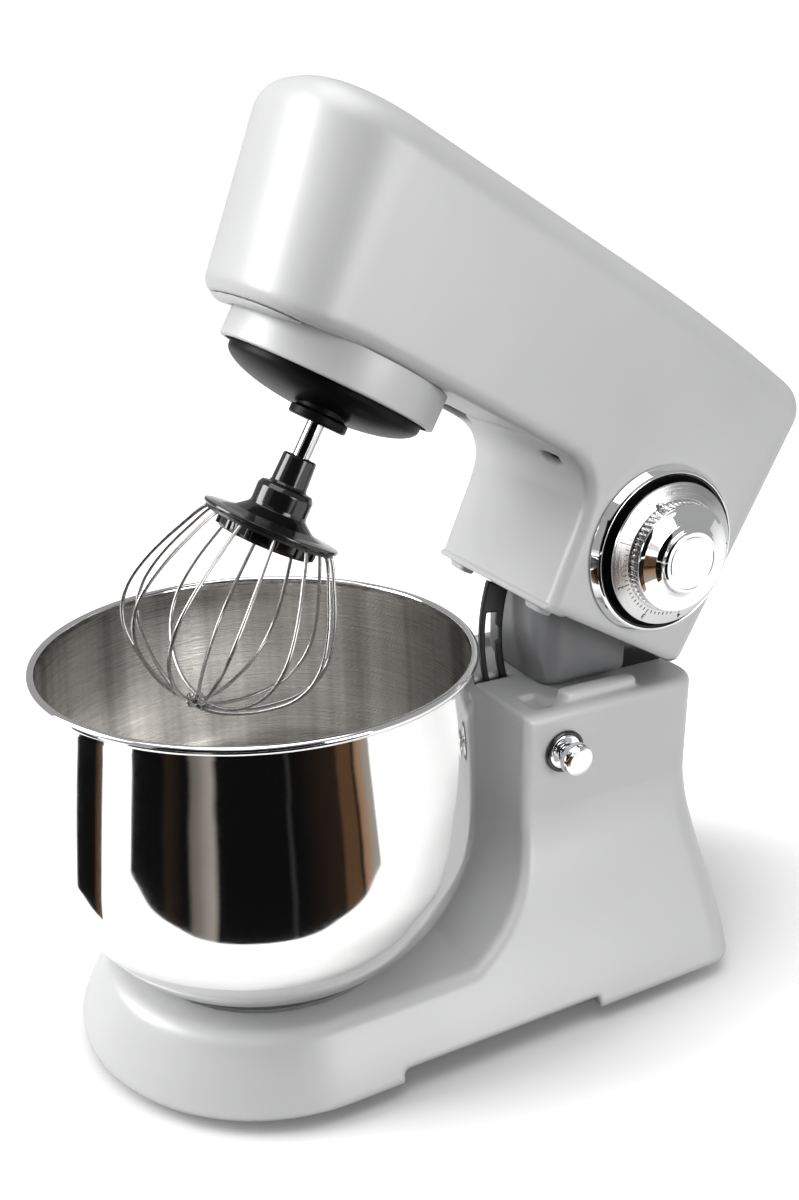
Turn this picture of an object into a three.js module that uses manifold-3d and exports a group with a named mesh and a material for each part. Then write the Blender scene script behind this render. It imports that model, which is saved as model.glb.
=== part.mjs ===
// A tilt-head stand mixer: base, raised head, planetary drive, whisk, bowl, speed dial and head latch.
// Millimetres, +Z up. -Y is the bowl end, +X the side that carries the dial and the latch knob.
// The head is modelled level, as it lies when it is closed, and its group then tilts it open.
import * as THREE from 'three';
import { mergeVertices } from 'three/addons/utils/BufferGeometryUtils.js';
import Module from 'manifold-3d';

const wasm = await Module();
wasm.setup();

// ---- driving dimensions -------------------------------------------------
const GAP = 0.3; // clearance between touching pieces
const WALL = 3; // shell thickness

const TILT = THREE.MathUtils.degToRad(29); // head opening angle
const HINGE = { y: 256, z: 199 }; // hinge axis, above the bowl axis's level frame

const BASE = { radius: 107, edgeZ: 5.5, topZ: 44, topInset: 17, rearY: 258, cornerR: 22 };
const COLUMN = {
  halfWidth: 60, frontY: 132, rearY: 257, topZ: 171.5, footZ: 14, footHalfWidth: 101, flareZ: 112,
};
const FOOT = { radius: 12.5, height: 13, x: 87, frontY: -13, rearY: 214 };

const RIM = { radius: 117.5, z: 217.8, bead: 2.2 };
const BOWL = { bottomZ: 48, sheet: 1.4 };
const SEAT = { recessZ: 42.2, recessR: 66.4, rimR: 74 };

const HEAD = {
  halfWidth: 61, bottomZ: 173.9, rearY: 256, topZ: 354, noseY: -92, sideEdgeZ: 253.5,
  neckY: 140, crossR: 18, rearTopR: 26, noseR: 12, noseDrop: 4, chinDrop: 8, filletR: 32,
  floorEndY: 104, flangeY: 154, shoulderY: -34, noseLean: 0.16,
};
const SCREW_WELLS = [[31, 122, 249], [-47, 101, 253.5]]; // dark hollows behind the drive skirt
const AXIS_Y = -3.5; // the drive axis stands a little ahead of the bowl's
const COLLAR = { radius: 58.6, bottomZ: 232.5, wall: 3 };
const DOME = { radius: 52.5, topZ: 234, dipZ: 216.5, wall: 2.4 };
const PLANET = { offset: 24, angle: THREE.MathUtils.degToRad(-18), shaftR: 4.5 };
const GEARS = { module: 2, ring: 36, planet: 12, final: 32, pinion: 12 };
const DECK = { z: 257, thick: 4 }; // chassis plate inside the head
const DRIVE = { bigPulleyR: 35, smallPulleyR: 8, pulleyZ: 328, pulleyH: 8, motorY: 112, motorR: 27 };
const WHISK = {
  sleeveTopZ: 194, collarTopZ: 177.5, discZ: 157, drumZ: 148, discR: 35.5, drumR: 26,
  bellyR: 53.5, bellyZ: 107, tipZ: 61, wireR: 1, boreR: 5.9,
};
const WHISK_SAG = THREE.MathUtils.degToRad(1.5); // the whisk hangs a little steeper than its loose bore
const WIRE_LOOPS = 6;
const DIAL = { y: 193.2, z: 230, bezelR: 48, skirtR: 39.5, knobR: 30, capR: 17, faceX: 88 };
const LATCH = { armR: 111.5, angle: THREE.MathUtils.degToRad(28), knobR: 9, faceX: 76, pinR: 3 };
const QUADRANT = { innerR: 103.5, outerR: 118.5, slotHalf: 3.75, thick: 3.5, neckY: 146.4, endY: 156 };

// ---- materials ------------------------------------------------------------
const material = (color, roughness, metalness) =>
  new THREE.MeshStandardMaterial({ color, roughness, metalness });
const PAINT = material(0xc4c5c9, 0.45, 0.1);
const GREY_PLASTIC = material(0xa9abb0, 0.5, 0.0);
const BLACK_GLOSS = material(0x111112, 0.2, 0.0);
const BLACK_MATT = material(0x1a1a1b, 0.6, 0.0);
const CHROME = material(0xe2e3e5, 0.08, 1.0);
const STEEL = material(0xc9cbce, 0.25, 1.0);
const RUBBER = material(0x161616, 0.85, 0.0);
const NYLON = material(0xe6e1d2, 0.55, 0.0);
const CAST = material(0x9a9ca0, 0.5, 0.8);
const COPPER = material(0xb06a3a, 0.4, 0.9);
const BOARD = material(0x1f5a38, 0.6, 0.0);

// ---- solid helpers ----------------------------------------------------------
const V2 = (x, y) => new THREE.Vector2(x, y);
const V3 = (x, y, z) => new THREE.Vector3(x, y, z);

function solidOf(geometry) {
  const bare = geometry.clone();
  bare.deleteAttribute('normal');
  bare.deleteAttribute('uv');
  const merged = mergeVertices(bare, 1e-4);
  return new wasm.Manifold(new wasm.Mesh({
    numProp: 3,
    vertProperties: new Float32Array(merged.attributes.position.array),
    triVerts: new Uint32Array(merged.index.array),
  }));
}

function geometryOf(solid) {
  const mesh = solid.getMesh();
  const geometry = new THREE.BufferGeometry();
  geometry.setAttribute('position', new THREE.BufferAttribute(new Float32Array(mesh.vertProperties), 3));
  geometry.setIndex(new THREE.BufferAttribute(new Uint32Array(mesh.triVerts), 1));
  geometry.computeVertexNormals();
  return geometry;
}

const union = (...solids) => solids.reduce((a, b) => a.add(b));
const cut = (solid, ...tools) => tools.reduce((a, b) => a.subtract(b), solid);

const extrude = (shape, depth, curveSegments = 8) =>
  new THREE.ExtrudeGeometry(shape, { depth, bevelEnabled: false, curveSegments });

// a shape drawn in (y, z), swept along X
function alongX(shape, x0, x1, curveSegments) {
  const basis = new THREE.Matrix4().makeBasis(V3(0, 1, 0), V3(0, 0, 1), V3(1, 0, 0)).setPosition(x0, 0, 0);
  return solidOf(extrude(shape, x1 - x0, curveSegments).applyMatrix4(basis));
}

// a shape drawn in (x, z), swept along Y
function alongY(shape, y0, y1, curveSegments) {
  const basis = new THREE.Matrix4().makeBasis(V3(1, 0, 0), V3(0, 0, 1), V3(0, -1, 0)).setPosition(0, y1, 0);
  return solidOf(extrude(shape, y1 - y0, curveSegments).applyMatrix4(basis));
}

// a shape drawn in (x, y), swept along Z
function alongZ(shape, z0, z1, curveSegments) {
  return solidOf(extrude(shape, z1 - z0, curveSegments).translate(0, 0, z0));
}

// profile points are [radius, z], turned about the Z axis
function turned(profile, segments = 32) {
  const points = profile.map(([r, z]) => V2(r, z));
  return solidOf(new THREE.LatheGeometry(points, segments).rotateX(Math.PI / 2));
}

const rod = (r, z0, z1, segments = 16) => turned([[0, z0], [r, z0], [r, z1], [0, z1]], segments);
const tube = (rIn, rOut, z0, z1, segments = 24) =>
  turned([[rIn, z0], [rOut, z0], [rOut, z1], [rIn, z1], [rIn, z0]], segments);
const toX = (solid) => solid.rotate([0, 90, 0]); // +Z axis laid along +X
const block = (x0, x1, y0, y1, z0, z1) => {
  const box = new THREE.BoxGeometry(x1 - x0, y1 - y0, z1 - z0);
  return solidOf(box.translate((x0 + x1) / 2, (y0 + y1) / 2, (z0 + z1) / 2));
};
const polygon = (points) => new THREE.Shape(points.map(([a, b]) => V2(a, b)));

function roundedRect(x0, x1, y0, y1, r) {
  const shape = new THREE.Shape();
  shape.moveTo(x0 + r, y0);
  shape.lineTo(x1 - r, y0).absarc(x1 - r, y0 + r, r, -Math.PI / 2, 0);
  shape.lineTo(x1, y1 - r).absarc(x1 - r, y1 - r, r, 0, Math.PI / 2);
  shape.lineTo(x0 + r, y1).absarc(x0 + r, y1 - r, r, Math.PI / 2, Math.PI);
  shape.lineTo(x0, y0 + r).absarc(x0 + r, y0 + r, r, Math.PI, 1.5 * Math.PI);
  return shape;
}

// ---- scene groups -------------------------------------------------------------
const mixer = new THREE.Group();
const head = new THREE.Group();
head.position.set(0, HINGE.y, HINGE.z);
head.rotation.x = -TILT;
mixer.add(head);
const level = new THREE.Group(); // head pieces keep the level frame's coordinates
level.position.set(0, -HINGE.y, -HINGE.z);
head.add(level);
const drive = new THREE.Group(); // gears, motor and whisk, laid out round the drive axis
drive.position.set(0, AXIS_Y, 0);
level.add(drive);

function add(group, name, solid, look) {
  const mesh = new THREE.Mesh(geometryOf(solid), look);
  mesh.name = name;
  group.add(mesh);
}

// ---- base -----------------------------------------------------------------------
// plan of the base: a half-round front, straight sides and two rounded rear corners
function basePlan(inset) {
  const r = BASE.radius - inset;
  const corner = BASE.cornerR - inset * 0.5;
  const rear = BASE.rearY - inset;
  const shape = new THREE.Shape();
  shape.absarc(0, 0, r, Math.PI, 2 * Math.PI);
  shape.lineTo(r, rear - corner).absarc(r - corner, rear - corner, corner, 0, Math.PI / 2);
  shape.lineTo(-r + corner, rear).absarc(-r + corner, rear - corner, corner, Math.PI / 2, Math.PI);
  return shape;
}

// moves every vertex of an upright prism sideways by a rule of its height
function flared(shape, z0, z1, steps, curveSegments, rule) {
  const options = { depth: z1 - z0, steps, bevelEnabled: false, curveSegments };
  const geometry = new THREE.ExtrudeGeometry(shape, options).translate(0, 0, z0);
  const at = geometry.attributes.position;
  for (let i = 0; i < at.count; i += 1) {
    const [x, y] = rule(at.getX(i), at.getY(i), at.getZ(i));
    at.setXY(i, x, y);
  }
  return solidOf(geometry);
}

// the slab's wall stands upright at the bottom and rounds inwards to its top edge
function slab(inset) {
  const { edgeZ, topZ, topInset, radius } = BASE;
  const centreY = 75;
  const inward = (z) => topInset * Math.max(0, (z - edgeZ) / (topZ - edgeZ)) ** 1.5;
  const bottom = edgeZ - (inset ? 1 : 0);
  const steps = inset ? 3 : 4;
  return flared(basePlan(inset), bottom, topZ - inset, steps, inset ? 4 : 6, (x, y, z) => [
    x * (1 - inward(z) / radius),
    centreY + (y - centreY) * (1 - inward(z) / (centreY + radius)),
  ]);
}

// the column widens into the slab with a hollow curve on its sides and front
function column(inset) {
  const plan = roundedRect(-COLUMN.halfWidth + inset, COLUMN.halfWidth - inset,
    COLUMN.frontY + inset, COLUMN.rearY - inset, 12 - inset);
  const widen = COLUMN.footHalfWidth / COLUMN.halfWidth - 1;
  const lean = (z) => Math.max(0, (COLUMN.flareZ - z) / (COLUMN.flareZ - COLUMN.footZ));
  const reach = 150; // how far the front runs out into the slab at the foot
  const middleY = (COLUMN.frontY + COLUMN.rearY) / 2;
  const forward = (y, z) => (reach * lean(z) ** 3 * (middleY - y)) / (middleY - COLUMN.frontY);
  const bottom = COLUMN.footZ - (inset ? 2 : 0);
  return flared(plan, bottom, COLUMN.topZ - inset, inset ? 5 : 7, 2, (x, y, z) => [
    x * (1 + widen * lean(z) ** 1.45),
    y < middleY ? y - forward(y, z) : y,
  ]);
}

const SLOT_TOP = { y0: 134, y1: 157.6 };
const ARCH = { y0: 30, y1: 155, height: 7 }; // the underside is lifted between the feet
const INLET = { x: 62, z: 30, half: 10 };
const NUB = { x: 41, y: 149.5, halfX: 7.5, halfY: 5 };
const RIB = { x: 47, halfX: 5, y0: 163, y1: 214, height: 6 };
const latchY = HINGE.y - LATCH.armR * Math.cos(LATCH.angle);
const latchZ = HINGE.z - LATCH.armR * Math.sin(LATCH.angle);
const atLatch = (solid) => toX(solid).translate([0, latchY, latchZ]);

const inletOutline = (inset) => roundedRect(INLET.x - INLET.half + inset, INLET.x + INLET.half - inset,
  INLET.z - INLET.half + inset, INLET.z + INLET.half - inset, 4 - inset);

function baseShell() {
  const mirrored = (make) => [1, -1].map(make);
  const rib = roundedRect(RIB.x - RIB.halfX, RIB.x + RIB.halfX, RIB.y0, RIB.y1, 4);
  const ribs = mirrored((side) => alongZ(rib, COLUMN.topZ - 1, COLUMN.topZ + RIB.height, 4)
    .translate([side < 0 ? -2 * RIB.x : 0, 0, 0]));
  const pockets = mirrored((side) => block(side * NUB.x - NUB.halfX - 1, side * NUB.x + NUB.halfX + 1,
    NUB.y - NUB.halfY - 1, NUB.y + NUB.halfY + 1, COLUMN.topZ - 2, COLUMN.topZ + 1));
  const quadrantSlot = block(-3, 3, SLOT_TOP.y0, SLOT_TOP.y1, COLUMN.topZ - 8, COLUMN.topZ + 1);
  const latchHole = atLatch(rod(6, 50, 70));
  const inletHole = alongY(inletOutline(0), BASE.rearY - 18, BASE.rearY + 4, 4);
  const arch = block(-150, 150, ARCH.y0, ARCH.y1, BASE.edgeZ - 5, BASE.edgeZ + ARCH.height);
  const seatRecess = rod(SEAT.recessR, SEAT.recessZ, BASE.topZ + 5, 32);
  const outer = union(slab(0), column(0), ...ribs);
  const shell = cut(outer, slab(WALL), column(WALL));
  return cut(shell, ...pockets, quadrantSlot, latchHole, inletHole, arch, seatRecess);
}

function baseFloor() {
  const plate = alongZ(basePlan(WALL + 3), BASE.edgeZ + 4.3, BASE.edgeZ + 7.3, 4);
  const vents = [-2, -1, 0, 1, 2].map((i) => block(-30, 30, 150 + i * 10, 154 + i * 10, 0, 20));
  return cut(plate, ...vents);
}

function buildBase() {
  add(mixer, 'base_shell', baseShell(), PAINT);
  add(mixer, 'base_floor', baseFloor(), BLACK_MATT);
  const top = BASE.edgeZ + 4.3 - GAP;
  [['front_left', -1, FOOT.frontY], ['front_right', 1, FOOT.frontY],
    ['rear_left', -1, FOOT.rearY], ['rear_right', 1, FOOT.rearY]].forEach(([where, side, y]) => {
    const foot = turned([[0, top - 13], [FOOT.radius - 1.5, top - 13], [FOOT.radius, top - 11.5],
      [FOOT.radius, top], [0, top]], 16).translate([side * FOOT.x, y, 0]);
    add(mixer, `foot_${where}`, foot, RUBBER);
  });
  const bush = alongY(inletOutline(0.4), BASE.rearY - 11, BASE.rearY + 1, 4);
  const cordHole = rod(4, 0, 30).rotate([90, 0, 0]).translate([INLET.x, BASE.rearY + 12, INLET.z]);
  add(mixer, 'cord_inlet', cut(bush, cordHole), BLACK_MATT);
}

// the bowl stands in this shallow dish and turns under its three claws
function bowlSeat() {
  const floor = SEAT.recessZ + GAP;
  const rim = BASE.topZ + GAP;
  const dish = turned([[0, floor], [SEAT.recessR - GAP, floor], [SEAT.recessR - GAP, rim], [SEAT.rimR, rim],
    [SEAT.rimR, rim + 2], [64, rim + 2], [64, floor + 1.1], [0, floor + 1.1]], 32);
  const claw = (turn) => union(
    block(58.2, 62, -9, 9, floor + 1, BOWL.bottomZ - 0.6),
    block(53.4, 62, -9, 9, BOWL.bottomZ - 1.8, BOWL.bottomZ - 0.6),
  ).rotate([0, 0, turn]);
  return union(dish, claw(30), claw(150), claw(270));
}

// ---- hinge ------------------------------------------------------------------------
const TOWER = { halfWidth: 34, y0: 159.5, y1: 218, topZ: 229 };

function neckBlock() {
  const side = new THREE.Shape();
  const z0 = COLUMN.topZ + GAP;
  side.moveTo(TOWER.y0 + 3, z0);
  side.lineTo(TOWER.y0, z0 + 4);
  side.lineTo(TOWER.y0, TOWER.topZ - 8).quadraticCurveTo(TOWER.y0, TOWER.topZ, TOWER.y0 + 10, TOWER.topZ);
  side.lineTo(TOWER.y1, TOWER.topZ - 4);
  side.lineTo(TOWER.y1, z0);
  const plan = roundedRect(-TOWER.halfWidth, TOWER.halfWidth, TOWER.y0, TOWER.y1 + 8, 8);
  return alongX(side, -40, 40, 5).intersect(alongZ(plan, z0 - 1, 240, 5));
}

function hingeBracket() {
  const z0 = COLUMN.topZ + GAP;
  const side = new THREE.Shape();
  side.moveTo(TOWER.y1 + GAP, z0).lineTo(250, z0).lineTo(252, 185);
  side.lineTo(HINGE.y + 5.5, HINGE.z - 6);
  side.absarc(HINGE.y, HINGE.z, 8, -0.8, Math.PI * 0.6);
  side.lineTo(TOWER.y1 + GAP, 224);
  return cut(alongX(side, -27.2, 27.2, 10), toX(rod(4.3, -40, 40)).translate([0, HINGE.y, HINGE.z]));
}

function buildHinge() {
  add(mixer, 'bowl_seat', bowlSeat(), GREY_PLASTIC);
  add(mixer, 'neck_block', neckBlock(), GREY_PLASTIC);
  add(mixer, 'hinge_bracket', hingeBracket(), BLACK_GLOSS);
  add(mixer, 'hinge_pin', toX(rod(4, -39, 39)).translate([0, HINGE.y, HINGE.z]), STEEL);
  const ear = new THREE.Shape();
  ear.absarc(HINGE.y, HINGE.z, 8, Math.PI, 2.5 * Math.PI);
  ear.lineTo(252.5, 210).lineTo(252.5, 232).lineTo(232, 232).lineTo(232, 208);
  const bore = toX(rod(4.3, -45, 45)).translate([0, HINGE.y, HINGE.z]);
  [['left', -38, -27.7], ['right', 27.7, 38]].forEach(([where, x0, x1]) =>
    add(level, `hinge_ear_${where}`, cut(alongX(ear, x0, x1, 8), bore), CAST));
}

// ---- head latch -----------------------------------------------------------------------
function quadrantPlate() {
  const at = (r, degrees) => {
    const a = THREE.MathUtils.degToRad(degrees);
    return [HINGE.y - r * Math.cos(a), HINGE.z - r * Math.sin(a)];
  };
  const arc = (r, from, to) => Array.from({ length: 11 }, (_, i) => at(r, from + ((to - from) * i) / 10));
  const { innerR, outerR, slotHalf } = QUADRANT;
  const closedPin = THREE.MathUtils.radToDeg(LATCH.angle);
  const openPin = closedPin + THREE.MathUtils.radToDeg(TILT);
  const plate = polygon([...arc(outerR, 4, openPin + 6), ...arc(innerR, openPin + 6, 4)]);
  const near = LATCH.armR - slotHalf;
  const notch = near - 2; // the pin drops in here when the head is closed
  const slot = polygon([
    ...arc(LATCH.armR + slotHalf, closedPin - 6, openPin + 1.6),
    at(LATCH.armR, openPin + 3.2),
    ...arc(near, openPin + 1.6, closedPin + 4),
    at(notch, closedPin + 3.4),
    at(notch, closedPin - 1),
    at(near, closedPin - 2),
    at(near, closedPin - 6),
  ]);
  const half = QUADRANT.thick / 2;
  // above the neck's floor the plate keeps clear of the neck's front wall
  const front = block(-9, 9, 100, QUADRANT.neckY, HEAD.bottomZ - GAP, 260);
  return cut(alongX(plate, -half, half), alongX(slot, -5, 5), front);
}

function buildLatch() {
  add(level, 'latch_quadrant', quadrantPlate(), BLACK_MATT);
  const wall = COLUMN.halfWidth;
  const stemR = 4.2;
  const boreR = stemR + 0.4;
  const collar = tube(boreR, 12.6, wall + GAP, wall + 2.6, 20);
  const bush = union(collar, tube(boreR, 5.7, wall - 8, wall + 1, 16));
  add(mixer, 'latch_bush', atLatch(cut(bush, rod(boreR, 0, 90))), BLACK_GLOSS);
  const { knobR, faceX } = LATCH;
  const knob = turned([[0, 62], [3.2, 62], [3.2, 64], [4.2, 65], [4.2, 66.5], [7.6, 68], [knobR, 70.5],
    [knobR, 73], [7.6, faceX - 0.6], [5, faceX], [0, faceX]], 16);
  add(mixer, 'latch_knob', atLatch(union(knob, rod(stemR, 22, 66), rod(LATCH.pinR, -9, 23))), CHROME);
  const rib = block(25, 34, latchY - 9, latchY + 9, latchZ - 9, COLUMN.topZ - WALL - GAP);
  add(mixer, 'latch_guide', cut(rib, atLatch(rod(boreR, 0, 60))), GREY_PLASTIC);
  add(mixer, 'latch_spring', atLatch(spring(5.6, 0.6, 35, 51, 4)), STEEL);
}

// a compression spring along Z
function spring(radius, wireR, z0, z1, turns) {
  class Helix extends THREE.Curve {
    getPoint(t) {
      const a = t * turns * 2 * Math.PI;
      return V3(radius * Math.cos(a), radius * Math.sin(a), z0 + t * (z1 - z0));
    }
  }
  const section = new THREE.Shape().absarc(0, 0, wireR, 0, 2 * Math.PI);
  const options = { steps: turns * 8, extrudePath: new Helix(), curveSegments: 3 };
  return solidOf(new THREE.ExtrudeGeometry(section, options));
}

// ---- head covers ------------------------------------------------------------------------
// the head's side outline in (y, z), with the neck dropping from it at the rear
function headSide(inset) {
  const { noseY, topZ, rearY, bottomZ, sideEdgeZ, neckY, noseR, noseDrop, filletR, rearTopR } = HEAD;
  const top = topZ - inset;
  const rear = rearY - inset;
  const nose = noseY + inset;
  const under = sideEdgeZ + inset;
  const neck = neckY + inset;
  const shape = new THREE.Shape();
  shape.moveTo(nose - 10, under - noseDrop);
  shape.lineTo(nose + 30, under - noseDrop).lineTo(nose + 60, under);
  shape.lineTo(neck - filletR, under);
  shape.quadraticCurveTo(neck - 4, under, neck - 2, under - filletR);
  shape.lineTo(neck + 2.5, bottomZ - (inset ? 1 : 0));
  shape.lineTo(rear, bottomZ - (inset ? 1 : 0));
  shape.lineTo(rear, top - rearTopR - 8);
  shape.quadraticCurveTo(rear, top - 8, rear - rearTopR, top - 5);
  shape.lineTo(130, top);
  shape.lineTo(nose + noseR + 16, top);
  shape.quadraticCurveTo(nose + 4, top - 1, nose, top - noseR);
  shape.lineTo(nose - 10, top - noseR - 8);
  return shape;
}

function headPlan(inset) {
  const half = HEAD.halfWidth - inset;
  const shape = new THREE.Shape();
  const nose = HEAD.noseY + inset;
  const shoulder = HEAD.shoulderY;
  shape.moveTo(-half, shoulder);
  shape.bezierCurveTo(-half, nose + 14, -half * 0.62, nose, 0, nose);
  shape.bezierCurveTo(half * 0.62, nose, half, nose + 14, half, shoulder);
  const r = 13 - inset;
  const rear = HEAD.rearY - inset;
  shape.lineTo(half, rear - r).absarc(half - r, rear - r, r, 0, Math.PI / 2);
  shape.lineTo(-half + r, rear).absarc(-half + r, rear - r, r, Math.PI / 2, Math.PI);
  return shape;
}

function headCross(inset) {
  const half = HEAD.halfWidth - inset;
  return roundedRect(-half, half, 100, HEAD.topZ - inset, HEAD.crossR - inset);
}

// the plan as an upright prism whose nose leans back towards its foot
function headPrism(inset) {
  const { shoulderY, noseY, topZ, noseLean } = HEAD;
  return flared(headPlan(inset), 120, 400, 1, 5, (x, y, z) => [
    x, y < shoulderY ? y + (noseLean * (topZ - z) * (shoulderY - y)) / (shoulderY - noseY) : y,
  ]);
}

const headBody = (inset) => alongX(headSide(inset), -90, 90, 5)
  .intersect(headPrism(inset))
  .intersect(alongY(headCross(inset), -150, 300, 4));

const bottomOpening = (grow) => union(
  block(-57 - grow, 57 + grow, HEAD.neckY + 20, HEAD.rearY - 12, 150, 200),
  block(-39.5 - grow, 39.5 + grow, HEAD.neckY + 16, HEAD.rearY + 20, 150, 212),
);

// sunk wells for the screws that hold the underside
const screwWell = ([x, y, z]) =>
  solidOf(new THREE.SphereGeometry(1, 12, 8).scale(8, 7, 2.6).translate(x, y, z));

// the cover closes the front of the neck too; the flat underside is left open for the floor plate
function headUpper() {
  const { halfWidth, noseY, neckY, floorEndY, flangeY, bottomZ, sideEdgeZ } = HEAD;
  const half = halfWidth - WALL;
  const belowDeck = block(-half, half, noseY - 20, floorEndY, 150, sideEdgeZ + 6);
  const floorHole = headPrism(WALL).intersect(belowDeck);
  const dialBore = toX(rod(9, 50, 80)).translate([0, DIAL.y, DIAL.z]);
  const flange = block(-half - 1, half + 1, neckY + 4, flangeY, bottomZ, bottomZ + WALL);
  const nubs = [1, -1].map((side) => block(side * NUB.x - NUB.halfX, side * NUB.x + NUB.halfX,
    NUB.y - NUB.halfY, NUB.y + NUB.halfY, bottomZ - 3.4, bottomZ + 1));
  const plateSlot = block(-2.2, 2.2, QUADRANT.neckY - GAP, QUADRANT.endY + 2, 160, 200);
  const shell = cut(headBody(0), headBody(WALL), floorHole, bottomOpening(0), dialBore);
  return cut(union(shell, flange, ...nubs), plateSlot, ...SCREW_WELLS.map(screwWell));
}

// the floor plate between the cover's walls, with a chin that shows under the nose
function headLower() {
  const { halfWidth, noseY, noseDrop, chinDrop, floorEndY, sideEdgeZ } = HEAD;
  const half = halfWidth - WALL - GAP;
  const inner = headPrism(WALL + GAP);
  const chinEnd = noseY + 44;
  const plate = block(-half, half, noseY, floorEndY - GAP, sideEdgeZ, sideEdgeZ + WALL).intersect(inner);
  const seamZ = sideEdgeZ - noseDrop - GAP;
  const tongue = block(-half, half, noseY, chinEnd, seamZ - 0.7, sideEdgeZ + 1).intersect(inner);
  const chinSide = polygon([[noseY, sideEdgeZ - chinDrop], [noseY + 30, sideEdgeZ - chinDrop],
    [chinEnd, seamZ], [noseY, seamZ]]);
  const chin = alongX(chinSide, -half, half).intersect(headPrism(1));
  const collarSeat = rod(COLLAR.radius + 0.8, 200, sideEdgeZ, 40).translate([0, AXIS_Y, 0]);
  const gearHole = rod(47, 200, 260, 24).translate([0, AXIS_Y, 0]);
  return cut(union(plate, tongue, chin), collarSeat, gearHole, ...SCREW_WELLS.map(screwWell));
}

function buildHeadCovers() {
  add(level, 'head_cover', headUpper(), PAINT);
  add(level, 'head_underside', headLower(), PAINT);
  const { radius, wall, bottomZ } = COLLAR;
  const topZ = HEAD.sideEdgeZ - GAP;
  const skirt = turned([[radius - wall, bottomZ], [radius, bottomZ], [radius - 0.6, topZ], [48, topZ],
    [48, topZ - 3], [radius - wall, topZ - 4], [radius - wall, bottomZ]], 32);
  add(drive, 'drive_skirt', skirt, PAINT);
}

// ---- drive -----------------------------------------------------------------------------------
// outline of a gear with straight-flanked teeth; a tooth points along +X at turn 0
function gearPoints(teeth, addendum, dedendum, turn = 0) {
  const pitchR = (teeth * GEARS.module) / 2;
  const step = (2 * Math.PI) / teeth;
  const points = [];
  for (let i = 0; i < teeth; i += 1) {
    [[-0.3, dedendum], [-0.1, addendum], [0.1, addendum], [0.3, dedendum]].forEach(([part, height]) => {
      const a = turn + (i + part) * step;
      points.push([(pitchR + height) * Math.cos(a), (pitchR + height) * Math.sin(a)]);
    });
  }
  return points;
}

const externalGear = (teeth, z0, z1, turn) => alongZ(polygon(gearPoints(teeth, 1.5, -2.2, turn)), z0, z1);

const FINAL_R = (GEARS.final * GEARS.module) / 2;
const LAY_Y = ((GEARS.final + GEARS.pinion) * GEARS.module) / 2; // layshaft, behind the drive axis
const planetX = PLANET.offset * Math.cos(PLANET.angle);
const planetY = PLANET.offset * Math.sin(PLANET.angle);
const atPlanet = (solid) => solid.translate([planetX, planetY, 0]);

function ringGear() {
  const teeth = GEARS.ring;
  const inner = polygon(gearPoints(teeth, 2.2, -1.5, PLANET.angle));
  return cut(rod(46.4, 237, DECK.z - GAP, 24), alongZ(inner, 230, 270));
}

function planetCarrier() {
  const { radius, topZ, dipZ, wall } = DOME;
  const outer = Array.from({ length: 6 }, (_, i) => {
    const t = (i / 5) * (Math.PI / 2);
    return [radius * Math.sin(t), topZ - 4 - (topZ - 4 - dipZ) * Math.cos(t)];
  });
  const inner = outer.slice(2).reverse().map(([r, z]) => [r - wall, z + wall]);
  const top = topZ + 1; // where the carrier takes the output shaft
  const cap = turned([...outer, [radius, topZ], [radius - wall, topZ], ...inner.slice(1),
    [9, dipZ + wall + 1], [9, top], [0, top]], 28);
  const boss = atPlanet(rod(15, dipZ - 3.5, dipZ + 7.5, 28));
  const sleeve = atPlanet(rod(8.2, dipZ - 2.5, top, 20));
  return cut(union(cap, boss, sleeve), atPlanet(rod(PLANET.shaftR + GAP, 200, 250)));
}

function buildDrive() {
  add(drive, 'ring_gear', ringGear(), NYLON);
  add(drive, 'planet_carrier', planetCarrier(), BLACK_GLOSS);
  add(drive, 'output_shaft', rod(6, DOME.topZ + 1 + GAP, 284), STEEL);
  const finalGear = externalGear(GEARS.final, 270, 280, Math.PI / GEARS.final + Math.PI / 2);
  add(drive, 'final_gear', cut(finalGear, rod(6 + GAP, 260, 285)), NYLON);
  add(drive, 'output_bearing', tube(6 + GAP, 11, DECK.z + DECK.thick + GAP, 268), STEEL);
  const atLay = (solid) => solid.translate([0, LAY_Y, 0]);
  const pinion = externalGear(GEARS.pinion, 269, 281, -Math.PI / 2);
  add(drive, 'layshaft', atLay(union(rod(4, 262, 340), pinion)), STEEL);
  const { bigPulleyR, smallPulleyR, pulleyZ, pulleyH, motorY, motorR } = DRIVE;
  const flanged = (r, bore) => turned([[bore, pulleyZ - 1.2], [r + 1.6, pulleyZ - 1.2], [r + 1.6, pulleyZ],
    [r, pulleyZ], [r, pulleyZ + pulleyH], [r + 1.6, pulleyZ + pulleyH], [r + 1.6, pulleyZ + pulleyH + 1.2],
    [bore, pulleyZ + pulleyH + 1.2], [bore, pulleyZ - 1.2]], 24);
  add(drive, 'big_pulley', atLay(flanged(bigPulleyR, 4 + GAP)), NYLON);
  const atMotor = (solid) => solid.translate([0, motorY, 0]);
  add(drive, 'motor_pulley', atMotor(flanged(smallPulleyR, 3.5)), BLACK_MATT);
  add(drive, 'motor_shaft', atMotor(union(rod(3.2, 264, 342), rod(15, 270, 294))), STEEL);
  add(drive, 'motor_fan', atMotor(motorFan()), BLACK_MATT);
  add(drive, 'motor_stator', atMotor(cut(rod(motorR, 264, 304, 24), rod(17, 260, 310, 20))), COPPER);
  add(drive, 'motor_cap', atMotor(tube(4, motorR, 304 + GAP, 308)), CAST);
  add(drive, 'drive_belt', driveBelt(), RUBBER);
  add(drive, 'head_deck', headDeck(), CAST);
  add(level, 'control_board', block(-40, 40, 150, 226, 284, 286), BOARD);
}

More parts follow.
